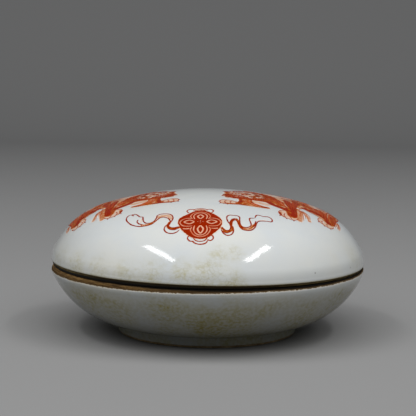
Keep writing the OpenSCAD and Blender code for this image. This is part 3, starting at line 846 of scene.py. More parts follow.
def paint_ribbons(work):
    """The ball's two ribbons, each a band between two lines, shaded where it folds."""
    edge = {"width": 0.42, "tone": 0.88, "start": 0.05, "end": 0.05}
    for points in (
        # Left: out of the ball, down and round, up over the arch, down, and into the loop at the end.
        [(-9.0, -39.9), (-10.0, -40.9), (-11.4, -41.2), (-12.9, -40.5), (-13.7, -39.0), (-13.4, -37.4),
         (-12.4, -36.2),
         (-11.9, -34.8), (-12.4, -33.0), (-13.0, -32.2), (-14.0, -31.5), (-15.0, -31.6), (-15.7, -32.5),
         (-16.6, -33.9),
         (-17.8, -35.0), (-19.8, -35.2), (-21.9, -34.5), (-24.0, -32.6), (-25.4, -29.8), (-25.7, -27.6),
         (-25.1, -25.9), (-24.2, -25.4)],
        [(-9.1, -38.3), (-10.2, -38.6), (-11.4, -38.5), (-12.3, -37.7), (-12.6, -37.0)],
        [(-9.2, -39.1), (-10.5, -39.6), (-11.9, -39.2), (-12.6, -38.0), (-12.0, -36.2), (-11.3, -34.2),
         (-11.1, -32.2),
         (-11.7, -30.2), (-13.2, -29.0), (-15.0, -28.9), (-16.0, -29.8), (-16.2, -31.5), (-16.8, -33.2),
         (-18.0, -34.1),
         (-19.4, -33.7), (-20.2, -32.2), (-20.4, -30.2), (-20.5, -29.1), (-21.4, -28.6), (-22.0, -27.3),
         (-22.7, -26.0), (-23.4, -25.4), (-24.3, -25.5)],
        [(-21.9, -30.5), (-22.2, -31.7), (-21.6, -33.2), (-20.4, -34.2)],
        [(-24.2, -25.5), (-23.7, -26.3), (-23.3, -27.0)],
        # Right: out of the ball, down and round, up over the arch, down, and out to the flag at the end.
        [(3.5, -39.9), (4.2, -41.6), (5.4, -42.5), (6.7, -42.0), (7.3, -40.6), (7.2, -38.8), (6.7, -37.4),
         (6.9, -35.6),
         (7.6, -34.3), (8.3, -34.5), (8.8, -36.2), (9.3, -38.0), (10.2, -39.1), (11.4, -39.2), (12.9, -38.6),
         (13.9, -37.0), (14.3, -35.0), (14.9, -33.2), (16.0, -32.5), (17.6, -32.0), (19.0, -31.8), (19.3, -30.6),
         (18.9, -29.3), (17.9, -28.5), (16.6, -28.9), (15.4, -28.4), (14.5, -28.7), (14.1, -29.9), (13.9, -31.2)],
        [(3.8, -38.6), (4.3, -39.8), (5.3, -40.4), (6.2, -39.9), (6.5, -38.6), (6.2, -37.0), (5.6, -35.4),
         (5.3, -33.6),
         (5.4, -31.8), (6.2, -30.8), (7.4, -30.8), (8.6, -30.9), (9.2, -31.9), (9.2, -33.8), (9.3, -35.8),
         (9.8, -37.4),
         (10.8, -37.9), (12.0, -37.4), (12.7, -36.2), (12.5, -34.4), (12.2, -32.9), (12.4, -31.7), (13.1, -31.4),
         (13.9, -31.2)],
        [(6.1, -37.2), (6.4, -35.2), (7.1, -33.5), (8.1, -33.0), (8.7, -33.8)],
        [(3.8, -40.6), (5.2, -41.5), (6.6, -40.6)],
        [(13.4, -37.0), (13.9, -35.0), (14.2, -33.2)],
    ):
        work.line(points, **edge)
    for points, width, density in (
        ([(-15.6, -30.8), (-14.0, -30.2), (-12.4, -31.0), (-11.8, -33.0)], 1.9, 0.4),
        ([(-15.9, -32.6), (-15.2, -31.2), (-13.8, -31.0)], 0.8, 0.3),
        ([(-12.1, -35.5), (-12.6, -37.6), (-11.4, -39.0), (-9.4, -38.9)], 1.1, 0.8),
        ([(-16.4, -33.4), (-18.4, -34.7), (-20.8, -34.4)], 0.9, 0.6),
        ([(-20.8, -30.5), (-21.0, -32.6)], 0.7, 0.2),
        ([(6.6, -37.3), (6.8, -35.2), (7.6, -33.8), (8.6, -34.2), (9.0, -36.4), (9.8, -38.2)], 1.0, 0.85),
        ([(9.8, -38.3), (11.2, -38.6), (12.6, -37.8), (13.6, -35.8)], 1.1, 0.6),
        ([(3.8, -39.4), (5.2, -41.0), (6.8, -40.0), (6.9, -38.4)], 1.1, 0.75),
        ([(12.4, -33.0), (12.8, -34.6)], 0.6, 0.2),
        ([(15.0, -32.4), (17.0, -31.6)], 0.7, 0.16),
    ):
        work.wash(points, width, density)


def paint_lion_washes(work):
    """The red under the lion's lines, thin on the body and thick in its shadows."""
    # Thin washes for the head and the body, and paler ones for the paws. The back keeps only the first, thinnest
    # wash: partly the painting's own tone and partly a painted sheen for the glaze's glancing reflection there.
    under = [(9.2, -13.5), (13.4, -13.8), (18, -14.2), (19.6, -16.4), (21.6, -17.6), (23.4, -18.8), (24.3, -21),
             (25, -24.2), (26.8, -24.6), (27.7, -22), (27.9, -16), (28.5, -13.8), (29.4, -11.8), (30.6, -11.4),
             (31.8, -13), (34, -14.4), (35.6, -16), (40.2, -16.8), (41.2, -11)]
    work.fill([*under, (42.6, -5), (42.6, 0), (40.6, 5.4), (36, 9.2), (29, 10.6), (23, 9),
               (19, 6), (15.6, 2.6), (11.4, 1), (8, -0.4), (5.6, -2.6), (4.9, -6), (5.3, -10.2), (6.6, -12.6)], 0.22)
    work.fill([*under, (42.2, -6), (40.4, -1.6), (35, 1), (29, 2.6), (24, 2), (20, -1.6),
               (15, -4.4), (9, -3.2), (5.6, -3.6), (5, -6), (5.3, -10.2), (6.6, -12.6)], 0.3)
    work.fill([(9.3, -13.2), (9.6, -16), (9.0, -18.2), (8.5, -20.3), (10.5, -21), (13.2, -21.2), (16.4, -21.2),
               (19, -20.5), (18.8, -19.5), (16.6, -18.8), (14.8, -17.8), (13.5, -16.4), (13.3, -13.4)], 0.55)
    work.fill([(9.4, -17.8), (7.4, -17), (5.4, -16.3), (3.9, -17.1), (3.5, -18.8), (4.2, -20.5), (6.4, -20.9),
               (9.6, -20.7)], 0.32)
    work.fill([(24.2, -18.4), (22.4, -19.8), (21.7, -22), (22.2, -24.6), (23.8, -26.1), (26, -26.5), (27.4, -25.4),
               (27.8, -22.6), (27, -19)], 0.28)
    work.fill([(35.4, -15.6), (34.6, -17.2), (34.8, -19), (36, -20.2), (38.2, -20.2), (39.8, -19), (40.4, -17),
               (39.6, -15.6)], 0.32)
    # Shading: chest, belly, shoulder, legs and haunch.
    for points, width, density in (
        ([(6.5, -8.8), (6.3, -10.4), (7.2, -12.2)], 2.6, 0.75),
        ([(8, -12.1), (13, -12.3), (18.6, -12.6)], 2.6, 0.72),
        ([(14.6, -15.4), (18, -16.6)], 3.8, 0.36),
        ([(18.8, -12.8), (20.4, -15.2), (24, -18)], 2.7, 0.9),
        ([(21.6, -15.8), (24, -17.2)], 2.2, 0.6),
        ([(21, -11), (22.4, -13.4)], 3.4, 0.4),
        ([(20.6, -5), (22.2, -8.4), (23, -10.4)], 2.8, 0.6),
        ([(24.9, -4), (25.4, -9), (26.2, -14), (26.7, -19), (26.5, -23)], 2.5, 0.93),
        ([(28, -2), (28.2, -7), (27.8, -10.5)], 2.6, 0.5),
        ([(31.4, -2), (32, -6)], 3.6, 0.4),
        ([(30.9, -9.8), (32.6, -10.8), (35, -11.8), (37, -12.8)], 3.8, 0.84),
        ([(35.6, -4), (36.8, -9), (38.4, -16.4)], 2.8, 0.72),
        ([(39.6, -7), (40.2, -15)], 2.2, 0.55),
        ([(41.4, 1), (41.6, -3), (41, -8)], 2.2, 0.4),
        ([(29, -6), (31, 0), (30.6, 4)], 3.0, 0.25),
        # The foreleg, and the orange hair behind the joints.
        ([(9.9, -14), (10.1, -17), (9.7, -19.6)], 1.5, 0.6),
        ([(13.3, -17.2), (14.4, -18.9)], 1.5, 0.7),
        ([(11.8, -20.5), (8, -20.3), (5.2, -20.3)], 1.1, 0.6),
        ([(14.2, -18.8), (16, -20.1), (18.2, -20.3)], 2.0, 0.5),
        ([(28.3, -14), (28.7, -18), (28.6, -22.4), (28.3, -25.2)], 2.3, 0.5),
        ([(29.7, -16), (30.9, -19.5), (31.6, -23)], 1.5, 0.46),
        ([(24.8, -16), (25, -19.5), (25.2, -23)], 2.0, 0.5),
        ([(41.8, -11), (42.4, -15.4)], 1.7, 0.4),
        ([(22.4, -21.4), (22.3, -24), (23.2, -25.6)], 0.9, 0.4),
    ):
        work.wash(points, width, density)
    # Red lifted off again where the light falls: ribs and shins.
    for points, width, amount in (
        ([(35.2, -2), (35.8, 2), (34, 5)], 2.6, 0.35), ([(27.6, 4), (32, 5)], 2.6, 0.3),
        ([(28.2, -12), (28.8, -13.8)], 1.5, 0.5), ([(36.0, -16.2), (36.4, -18.6)], 0.9, 0.5),
    ):
        work.wash(points, width, -amount)


def paint_lion_body(work):
    """The lion's tail, back, legs and hair."""
    dark = {"width": 0.48, "tone": 0.85, "start": 0.1, "end": 0.25}
    thin = {"width": 0.3, "tone": 0.7, "start": 0.1, "end": 0.3}
    # The tail: locks like flames, painted first so that the rump covers their roots.
    for tip, bend, width in (((46.3, 13.4), (46.8, 9), 2.4), ((46.2, 18.4), (47, 12.5), 2.8),
                             ((33.6, 17.2), (39, 12.4), 2.4),
                             ((43.6, 21.8), (45, 14.5), 3.0), ((36.2, 20.8), (40, 14), 2.6),
                             ((40, 23), (43, 15.5), 3.0)):
        middle = (0.45 * 42.6 + 0.55 * bend[0], 0.45 * 5.5 + 0.55 * bend[1])
        work.lock([(42.4, 4.6), middle, bend, tip], width, 0.55, 0.85, 3)
    for u, v, r in ((43.8, 6.8, 1.5), (41.6, 7.6, 1.2), (45.2, 4.6, 1.1)):
        work.ringlet((u, v), r, 1.4, 200, 0.4, 0.92, 0.55)

    # Back, rump, belly and legs.
    for points in (
        [(17, 3.6), (19.4, 6.4), (23.4, 9.2), (29.4, 10.7), (35.6, 9.4), (40, 5.9), (42.6, 0.8), (42.8, -4),
         (41.6, -9), (40.8, -13), (41, -16.6)],
        [(18.4, -14), (19.8, -16), (22, -17.6), (24.2, -19)],
        [(28.6, -13.4), (29.2, -11.8), (30.4, -11.2), (31.8, -12.8), (33.6, -14), (35.4, -15.4)],
        [(30.4, -1.5), (30.4, -5), (31.4, -8.6)],
        [(22.2, -6), (23.2, -10.6), (24.3, -14.4), (24.8, -17)],
        [(28.6, -3), (28.2, -8), (27.5, -14), (27.6, -18.6)],
        [(26.4, -6), (26.6, -12), (27.1, -18), (26.9, -22.4)],
        [(37, -8), (37.8, -12), (38.8, -16.4)],
    ):
        work.line(points, **dark)
    for points in (
        # The far foreleg and its paw.
        [(9.4, -13.4), (9.7, -15.8), (9.0, -18), (7.4, -17), (5.4, -16.3), (3.9, -17.1), (3.5, -18.8), (4.2, -20.5),
         (6.4, -21), (9.2, -20.8)],
        [(13.4, -14), (13.6, -16.2), (14.6, -17.6)],
        [(5.6, -17), (5.0, -18.6), (5.5, -20.4)], [(7.3, -17.4), (6.7, -18.8), (7.2, -20.5)],
        [(8.9, -18.2), (8.4, -19.2), (8.8, -20.4)],
        # The near foreleg's paw.
        [(24.3, -18.8), (22.5, -19.9), (21.7, -22), (22.2, -24.6), (23.8, -26.1), (26, -26.5), (27.4, -25.4),
         (27.9, -23.4)],
        [(23.7, -22.2), (23.3, -24.2), (23.9, -25.9)], [(25.4, -22.6), (25.2, -24.4), (25.9, -26.2)],
        # The hind paw.
        [(35.4, -15.6), (34.6, -17.2), (34.8, -19), (36, -20.2), (38.2, -20.3), (39.8, -19), (40.4, -17)],
        [(36.2, -17), (35.9, -18.6), (36.4, -20.1)], [(37.9, -17.2), (37.7, -18.8), (38.2, -20.2)],
    ):
        work.line(points, **thin)
    # Claws, and the dark pads of the forepaw.
    for points in ([(3.7, -18.2), (3, -18.8)], [(4.0, -20.2), (3.3, -20.8)], [(6.2, -20.9), (5.7, -21.6)],
                   [(22.3, -24.8), (21.8, -25.7)],
                   [(24.2, -26.1), (23.9, -27)], [(26.3, -26.4), (26.4, -27.3)], [(35, -19.4), (34.5, -20.3)],
                   [(36.9, -20.3), (36.7, -21.2)], [(39, -19.8), (39.3, -20.7)]):
        work.line(points, 0.42, 0.8, 0.05, 0.9)
    for points in ([(10, -14.4), (10.1, -16.6), (9.6, -18.8)], [(9.4, -20.3), (10.6, -20.6), (12.2, -20.2)],
                   [(13.3, -17.2), (13.9, -18.6), (15, -19.4)], [(21.9, -21.8), (22.1, -23.2), (22.6, -24.6)]):
        work.line(points, 0.7, 0.9, 0.2, 0.4)

    # Spirals on shoulder and haunch, with flames that run back from them.
    for u, v, r, first in ((25.2, 0.2, 2.7, 250), (37.2, 1.6, 3.0, 240)):
        work.curl((u, v), r, 1.7, first, 0.46, 0.88)
        for k, (du, dv, length) in enumerate(((0.4, 1.1, 5.0), (0.75, 0.55, 5.4), (0.85, -0.15, 5.0),
                                              (0.6, -0.8, 5.2))):
            base = (u + r * du, v + r * dv)
            work.lock([base, (base[0] + 0.5 * length * (0.9 - 0.1 * k), base[1] + 1.5 - 0.9 * k),
                       (base[0] + length * (0.8 - 0.1 * k), base[1] + 1.2 - 1.7 * k)], 1.3, 0.35, 0.72, 0)
    # Hair, combed in streaks.
    for first, last, count, width, tone in (
        ([(24.2, -3), (24.4, -9), (25.2, -16)], [(28.2, -3), (28, -8), (27.2, -16)], 12, 0.34, 0.85),
        ([(20.4, -8), (20.8, -11), (22.8, -15)], [(23.2, -7), (23.4, -11), (24.6, -16.4)], 9, 0.3, 0.62),
        ([(31, -2), (31.8, -7), (33.4, -11.6)], [(40.6, -2), (40, -8), (38.8, -15)], 24, 0.32, 0.72),
        ([(39.8, -3), (40.4, -9), (40, -15)], [(42.2, -2), (41.8, -8), (41, -15)], 6, 0.3, 0.62),
        ([(27.4, 9.2), (31.4, 8.4), (34.4, 5.6)], [(28.4, 2.4), (31, 0), (31.6, -5)], 15, 0.26, 0.6),
        ([(22, 7.6), (27, 9.2), (33, 8.6)], [(23, 4.6), (27, 6.4), (32, 5.8)], 8, 0.26, 0.6),
        ([(27.8, -13), (28.4, -17), (27.9, -24.6)], [(29, -13.5), (31.4, -18), (32.2, -23.4)], 6, 0.2, 0.55),
        ([(10.6, -14), (10.8, -17), (11, -20)], [(13.2, -14), (13.6, -17), (16.4, -20)], 8, 0.32, 0.56),
        ([(12.8, -18), (14.4, -20), (16.6, -21.2)], [(13.8, -16.6), (16, -18.8), (18.8, -19.9)], 7, 0.32, 0.5),
        ([(41.2, -9.4), (41.6, -12.6), (41.2, -16.4)], [(42.2, -8.4), (43.4, -12), (43.2, -15.4)], 4, 0.22, 0.6),
    ):
        work.combed(first, last, count, width, tone)
    # Small curls and flames along the back.
    for t in np.linspace(0, 1, 8):
        u, v = 19.8 + 19.8 * t, 6.9 + 4.6 * math.sin(math.pi * min(0.12 + t * 0.86, 1)) - 2.4 * t**2.6
        lean = 0.35 - 0.9 * t
        work.lock([(u + 0.2, v), (u + 1.0, v + 1.5 + 0.3 * lean), (u + 2.4, v + 2.3 + lean)], 1.3, 0.55, 0.85, 1)
        work.curl((u + 0.3, v - 1.0), 0.75, 1.1, 120, 0.3, 0.8)


def paint_lion_head(work):
    """The lion's mane, beard and face, drawn round (11.4, 0.2)."""
    # The mane: flames behind, then two rows of curls.
    for angle in np.arange(84, -100, -12):
        a = math.radians(angle)
        base = (11.4 + 7.8 * math.cos(a), 0.2 + 8.6 * math.sin(a))
        b = a - 0.35
        tip = (base[0] + 4.6 * math.cos(b), max(base[1] + 4.2 * math.sin(b), -9.4))
        middle = (base[0] + 2.6 * math.cos(a + 0.25), max(base[1] + 2.4 * math.sin(a + 0.25), -9.2))
        work.lock([base, middle, tip], 1.9, 0.4, 0.72, 2)
    for u, v, r in ((14.9, 8.7, 1.6), (17.7, 6.4, 1.75), (19.3, 3.2, 1.8), (19.4, -0.4, 1.8), (18.2, -3.8, 1.8),
                    (15.9, -6.6, 1.75),
                    (12.7, -8.2, 1.6), (15, 5, 1.5), (16.3, 2, 1.5), (15.9, -1.1, 1.5), (14.2, -3.9, 1.5),
                    (11.4, -5.6, 1.4)):
        work.ringlet((u, v), r, 1.9, math.degrees(math.atan2(v, u - 11)) + 180, 0.36, 0.8, 0.3)

    # Beard, in locks from the jaw.
    for base, tip in (((6.0, -3.4), (5.0, -7.4)), ((7.2, -4.0), (6.4, -9.2)), ((8.6, -4.0), (8.6, -9.6)),
                      ((10.0, -3.4), (10.8, -9.4))):
        work.lock([base, ((base[0] + tip[0]) / 2 - 0.7, (base[1] + tip[1]) / 2), tip], 1.7, 0.5, 0.8, 2)
    # Red lifted off the cheek, the muzzle and the mane.
    for points, width, amount in (
        ([(5.4, 4.6), (7, 3), (10.4, 2.4)], 1.5, 0.5), ([(9.6, -3.6), (13, -4.6)], 3.2, 0.6),
        ([(16.4, -3.4), (19.8, -2.4)], 2.6, 0.5),
        ([(7.6, -5.6), (10, -5.8)], 1.8, 0.5), ([(13.2, -1), (14.4, 1.6)], 1.6, 0.4),
    ):
        work.wash(points, width, -amount)
    # The face: mouth, teeth, tongue, nose, eye, brows and ear.
    work.fill([(5.4, 0.7), (8.4, 0.1), (11.0, 0.9), (10.6, -1.4), (8.4, -2.6), (6.2, -2.2)], 0.92)
    work.wash([(6.4, -1.6), (8.2, -1.7), (9.6, -0.9)], 0.9, -0.75)
    for u, v in ((6.0, 0.3), (7.2, 0.1), (8.4, 0.0), (9.6, 0.2)):
        work.wash([(u, v), (u + 0.1, v - 0.5)], 0.7, -0.9)
    work.wash([(8.1, 5.1), (8.5, 5.2)], 2.0, -0.95)
    work.wash([(7.0, 2.2), (9.6, 1.8), (11.4, 3)], 0.8, 0.5)
    work.fill([(5.9, 4.2), (4.6, 4.5), (3.6, 3.7), (3.5, 2.6), (4.3, 1.9), (5.6, 2.2)], 0.75)
    work.wash([(4.4, 1.2), (4.4, -0.6), (4.8, -2.4)], 0.9, 0.6)
    for points in (
        [(5.8, 4.3), (4.6, 4.6), (3.5, 3.7), (3.4, 2.5), (4.3, 1.8), (5.4, 2.1)],
        [(4.3, 1.7), (5.2, 0.8), (7, 0.6), (9.2, 0.6), (11.0, 1.3), (11.8, 2.8)],
        [(5.3, -0.2), (5.0, -1.6), (5.4, -3.0), (6.8, -3.8), (8.8, -3.7), (10.8, -2.4), (11.9, -0.4), (11.6, 1.2)],
        [(5.8, 4.3), (6.2, 5.8), (7.4, 7.8), (9.2, 9.4), (11.2, 10), (12.8, 9.6)],
        [(6.0, -1.2), (6.4, -2.2), (8.2, -2.7), (10.4, -1.6)],
        [(6.6, 3.4), (8.0, 3.3), (9.6, 3.6), (10.6, 4.6)],
    ):
        work.line(points, 0.42, 0.92, 0.08, 0.15)
    ring = [(8.3 + 1.25 * math.cos(a), 5.15 + 1.15 * math.sin(a)) for a in np.linspace(0, 2 * math.pi, 9)]
    work.line(ring, 0.4, 0.92, 0.02, 0.02)
    work.line([(7.9, 5.1), (8.5, 5.1)], 1.0, 1.0, 0.3, 0.3)
    work.curl((4.4, 3.1), 0.6, 0.8, 60, 0.32)
    for points, width in (([(6.6, 6.2), (8.2, 7.6), (10.6, 7.9)], 1.1), ([(9.6, 6.4), (11.4, 6.9), (13, 6.0)], 1.1),
                          ([(12.2, 8.2), (13.6, 9.8), (15.4, 11.6)], 2.2),
                          ([(11.4, 3.6), (12.8, 3.6), (13.8, 2.6)], 1.0),
                          ([(11.8, 1.6), (13, 1.2), (13.9, 0.2)], 1.0)):
        work.lock(points, width, 0.55, 0.88, 1)


def paint_lion(work):
    """A lion at play, its head low and its feet to the front. It is drawn as the right one, which faces left."""
    paint_lion_washes(work)
    paint_lion_body(work)
    # The head is drawn larger, and set low before the shoulder.
    body_lay = work.lay
    work.lay = lambda p: body_lay((p - [11.4, 0.2]) * [0.84, 0.78] + [11.6, -5.7])
    paint_lion_head(work)
    work.lay = body_lay
    # The beard curls forward under the muzzle.
    for u, v, r, first in ((5.4, -9.0, 1.0, 20), (5.1, -10.8, 1.15, 0), (6.2, -12.4, 1.2, -30), (8.2, -13, 1.2, -60)):
        work.ringlet((u, v), r, 1.6, first, 0.36, 0.9, 0.4)


def cloud(u, v, size, seed):
    """Smooth noise from 0 to 1 with blobs of about the given size."""
    grid = np.random.default_rng(seed).random((64, 64))
    x, y = u / size + 32, v / size + 32
    i, j = np.floor(x).astype(int), np.floor(y).astype(int)
    a, b = x - i, y - j
    a, b = a * a * (3 - 2 * a), b * b * (3 - 2 * b)
    i0, j0, i1, j1 = i % 64, j % 64, (i + 1) % 64, (j + 1) % 64
    return (grid[i0, j0] * (1 - a) + grid[i1, j0] * a) * (1 - b) + (grid[i0, j1] * (1 - a) + grid[i1, j1] * a) * b


def wash_film(name, work, finish, lift, step=0.22):
    """A film of glaze over the painted places of the lid, with the density of the washes kept at its points."""
    low, high, back = -56, 56, 40
    u, v = np.meshgrid(np.arange(low, high, step), np.arange(low, back, step), indexing="ij")
    clear = np.ones_like(u)
    for points, half, density, closed in work.washes:
        corners = points.min(0) - half - 1.5 * step, points.max(0) + half + 1.5 * step
        (i0, j0), (i1, j1) = (((corner - low) / step).astype(int) for corner in corners)
        here = np.s_[i0 : i1 + 2, j0 : j1 + 2]
        uu, vv = u[here], v[here]
        near = np.full(uu.shape, 99.0)
        for p in points:
            near = np.minimum(near, (uu - p[0]) ** 2 + (vv - p[1]) ** 2)
        near = np.sqrt(near)
        if closed:
            inside = np.zeros(uu.shape, bool)
            for a, b in zip(points[:-1], points[1:]):
                if a[1] != b[1]:
                    inside ^= ((a[1] > vv) != (b[1] > vv)) & (uu < (b[0] - a[0]) * (vv - a[1]) / (b[1] - a[1]) + a[0])
            amount = np.clip(0.5 + np.where(inside, near, -near) / (2 * step), 0, 1)
        else:
            amount = np.clip((half + 0.12 - near) / (0.12 + 0.55 * half), 0, 1)
            amount = amount * amount * (3 - 2 * amount)
        if density > 0:
            clear[here] *= 1 - min(density, 0.995) * amount
        else:
            clear[here] += (1 - clear[here]) * -density * amount
    wash = 1 - clear
    streak = 0.55 * cloud(u, v, 1.1, 5) + 0.45 * cloud(u + 3, v * 0.5, 0.5, 6)
    wash = np.where(wash > 0.93, wash, wash * (0.7 + 0.6 * streak))
    painted = wash > 0.004
    keep = painted.copy()
    keep[1:] |= painted[:-1]
    keep[:-1] |= painted[1:]
    keep[:, 1:] |= keep[:, :-1].copy()
    keep[:, :-1] |= keep[:, 1:].copy()
    around = np.s_[:-1, :-1], np.s_[1:, :-1], np.s_[1:, 1:], np.s_[:-1, 1:]
    cell = np.logical_and.reduce([keep[corner] for corner in around])
    used = np.zeros_like(keep)
    for corner in around:
        used[corner] |= cell
    number = np.cumsum(used.ravel()).reshape(used.shape) - 1
    s = np.hypot(u[used], v[used])
    radius, height = LID.at(s, -lift)
    points = np.stack([radius * u[used] / s, radius * v[used] / s, height], 1)
    faces = np.stack([number[corner][cell] for corner in around], 1)
    mesh = new_mesh(name, points, faces.tolist())
    store(mesh, "wash", np.clip(wash[used], 0, 1))
    store(mesh, "edge_mm", np.full(len(points), 99.0))
    mesh.materials.append(finish)
    return put(name, mesh)


def brush_tree():
    """Strokes drawn flat as lines become flat bands, a little thicker along the middle, and are laid on the lid."""
    if "brush_strokes" in bpy.data.node_groups:
        return bpy.data.node_groups["brush_strokes"]
    tree, add, given = new_tree("brush_strokes", [("Meridian", "Object"), ("Thickness", "Float"),
                                                  ("Finish", "Material")])
    path = add("GeometryNodeMeshToCurve", {"Mesh": given["Geometry"]})[0]
    path = add("GeometryNodeSetCurveNormal", {"Curve": path}, mode="Z_UP")[0]
    half = add("GeometryNodeInputNamedAttribute", {"Name": "half"}, data_type="FLOAT")[0]
    flat = add("GeometryNodeCurvePrimitiveLine", {"Start": (-1, 0, 0), "End": (1, 0, 0)})[0]
    flat = add("GeometryNodeResampleCurve", {"Curve": flat, "Count": 5})[0]
    position = add("GeometryNodeInputPosition")[0]
    across = add("ShaderNodeSeparateXYZ", {0: position})[0]
    sockets = {"Geometry": flat, "Name": "across", "Value": across}
    flat = add("GeometryNodeStoreNamedAttribute", sockets, data_type="FLOAT", domain="POINT")[0]
    band = add("GeometryNodeCurveToMesh", {"Curve": path, "Profile Curve": flat, "Scale": half})[0]

    # Where the lid is, at that distance from the top of the crown and in that direction.
    meridian = add("GeometryNodeObjectInfo", {"Object": given["Meridian"]})["Geometry"]
    meridian = add("GeometryNodeMeshToCurve", {"Mesh": meridian})[0]
    run = add("ShaderNodeVectorMath", {0: position}, operation="LENGTH")[1]
    sample = add("GeometryNodeSampleCurve", {"Curves": meridian, "Length": run}, mode="LENGTH")
    spot = add("ShaderNodeSeparateXYZ", {0: sample["Position"]})
    way = add("ShaderNodeSeparateXYZ", {0: sample["Tangent"]})
    across = add("GeometryNodeInputNamedAttribute", {"Name": "across"}, data_type="FLOAT")[0]
    order = add("GeometryNodeInputNamedAttribute", {"Name": "order"}, data_type="FLOAT")[0]
    crown = add("ShaderNodeMath", {0: across, 1: across}, operation="MULTIPLY")[0]
    crown = add("ShaderNodeMath", {0: crown, 1: -0.6, 2: 1.0}, operation="MULTIPLY_ADD")[0]
    lift = add("ShaderNodeMath", {0: crown, 1: given["Thickness"], 2: order}, operation="MULTIPLY_ADD")[0]
    radius = add("ShaderNodeMath", {0: way["Z"], 1: -1.0}, operation="MULTIPLY")[0]
    radius = add("ShaderNodeMath", {0: radius, 1: lift, 2: spot["X"]}, operation="MULTIPLY_ADD")[0]
    height = add("ShaderNodeMath", {0: way["X"], 1: lift, 2: spot["Z"]}, operation="MULTIPLY_ADD")[0]
    outward = add("ShaderNodeVectorMath", {0: position}, operation="NORMALIZE")[0]
    outward = add("ShaderNodeVectorMath", {0: outward, "Scale": radius}, operation="SCALE")[0]
    rise = add("ShaderNodeCombineXYZ", {2: height})[0]
    place = add("ShaderNodeVectorMath", {0: outward, 1: rise}, operation="ADD")[0]
    shape = add("GeometryNodeSetPosition", {"Geometry": band, "Position": place})[0]
    shape = add("GeometryNodeRealizeInstances", {"Geometry": shape})[0]
    shape = add("GeometryNodeSetMaterial", {"Geometry": shape, "Material": given["Finish"]})[0]
    add("NodeGroupOutput", {"Geometry": shape})
    return tree


def brushed_lines(name, work, finish, thickness, lift):
    """All the lines of a painting as bands of enamel on the lid."""
    s = np.arange(0, LID.length, 0.25)
    radius, height = LID.at(s)
    points = np.stack([radius, radius * 0, height], 1)
    meridian = put("meridian", new_mesh("meridian", points, edges=[(i, i + 1) for i in range(len(s) - 1)]))
    points, half, tone, order, edges, start = [], [], [], [], [], 0
    for number, (p, h, t) in enumerate(work.lines):
        points.append(np.column_stack([p, np.zeros(len(p))]))
        half.append(h * MM)
        tone.append(t)
        # Each stroke lies over the ones painted before it.
        order.append(np.full(len(p), (lift + 0.0004 * (number % 60)) * MM))
        edges += [(start + i, start + i + 1) for i in range(len(p) - 1)]
        start += len(p)
    mesh = new_mesh(name, np.concatenate(points), edges=edges)
    for key, values in (("half", half), ("tone", tone), ("order", order)):
        store(mesh, key, np.concatenate(values))
    obj = grown(put(name, mesh), brush_tree(), {"Meridian": meridian, "Thickness": thickness * MM, "Finish": finish})
    bpy.data.objects.remove(meridian)
    return obj


# The settings that a user would change


class WareSettings(bpy.types.PropertyGroup):
    segments: bpy.props.IntProperty(
        name="Segments", description="Segments round each turned form", default=480, min=48, max=960
    )
    wander: bpy.props.FloatProperty(
        name="Edge wander", description="How far the glaze edge wanders up and down, in millimetres", default=0.6,
        min=0, max=2
    )
    lean: bpy.props.FloatProperty(
        name="Edge lean", description="How far the outside glaze edges lean to one side, in millimetres",
        default=0.68, min=0, max=1
    )


class PaintingSettings(bpy.types.PropertyGroup):
    thickness: bpy.props.FloatProperty(
        name="Thickness", description="Thickness of the enamel lines in millimetres", default=0.025, min=0, max=0.2
    )
    seed: bpy.props.IntProperty(name="Seed", description="Changes how the hairs fall", default=4, min=0)


class PasteSettings(bpy.types.PropertyGroup):
    colour: bpy.props.FloatVectorProperty(
        name="Paste", description="Colour of the seal paste", subtype="COLOR", size=4, default=linear("#c4301c"),
        min=0, max=1
    )
    turns: bpy.props.FloatProperty(name="Turns", description="Turns of the spiral drawn in the paste", default=5.0,
                                   min=0, max=12)
    ridge: bpy.props.FloatProperty(
        name="Ridge", description="Height of the spiral's ridges in millimetres", default=0.8, min=0, max=2
    )


class StageSettings(bpy.types.PropertyGroup):
    floor: bpy.props.FloatVectorProperty(
        name="Floor", description="Colour of the floor", subtype="COLOR", size=4, default=linear("#8e8e8e"), min=0,
        max=1
    )
    soft_light: bpy.props.FloatProperty(
        name="Soft light", description="Power of the soft light overhead", default=22.8, min=0, subtype="POWER",
        unit="POWER"
    )
    strip_light: bpy.props.FloatProperty(
        name="Strip lights", description="Power of each strip light", default=0.6, min=0, subtype="POWER",
        unit="POWER"
    )
    lens: bpy.props.FloatProperty(name="Lens", description="Focal length in millimetres", default=111.8, min=20,
                                  max=300)


class SEALBOX_OT_turn_clay(bpy.types.Operator):
    """Turn the clay of the lid and of the box"""

    bl_idname = "seal_box.turn_clay"
    bl_label = "Turn the clay"

    def execute(self, context):
        ware, clay = context.scene.seal_box_ware, biscuit_clay()
        profile = lid_clay_profile()
        obj = turned("lid_clay", np.concatenate([profile, profile[:1]]), [9.0] * (len(profile) + 1), clay,
                     ware.segments)
        finish_piece(obj, "lid", "clay", "lid_body")
        profile = box_clay_profile()
        obj = turned("box_clay", profile, [9.0] * len(profile), clay, ware.segments)
        finish_piece(obj, "box", "clay", "box_body")
        return {"FINISHED"}


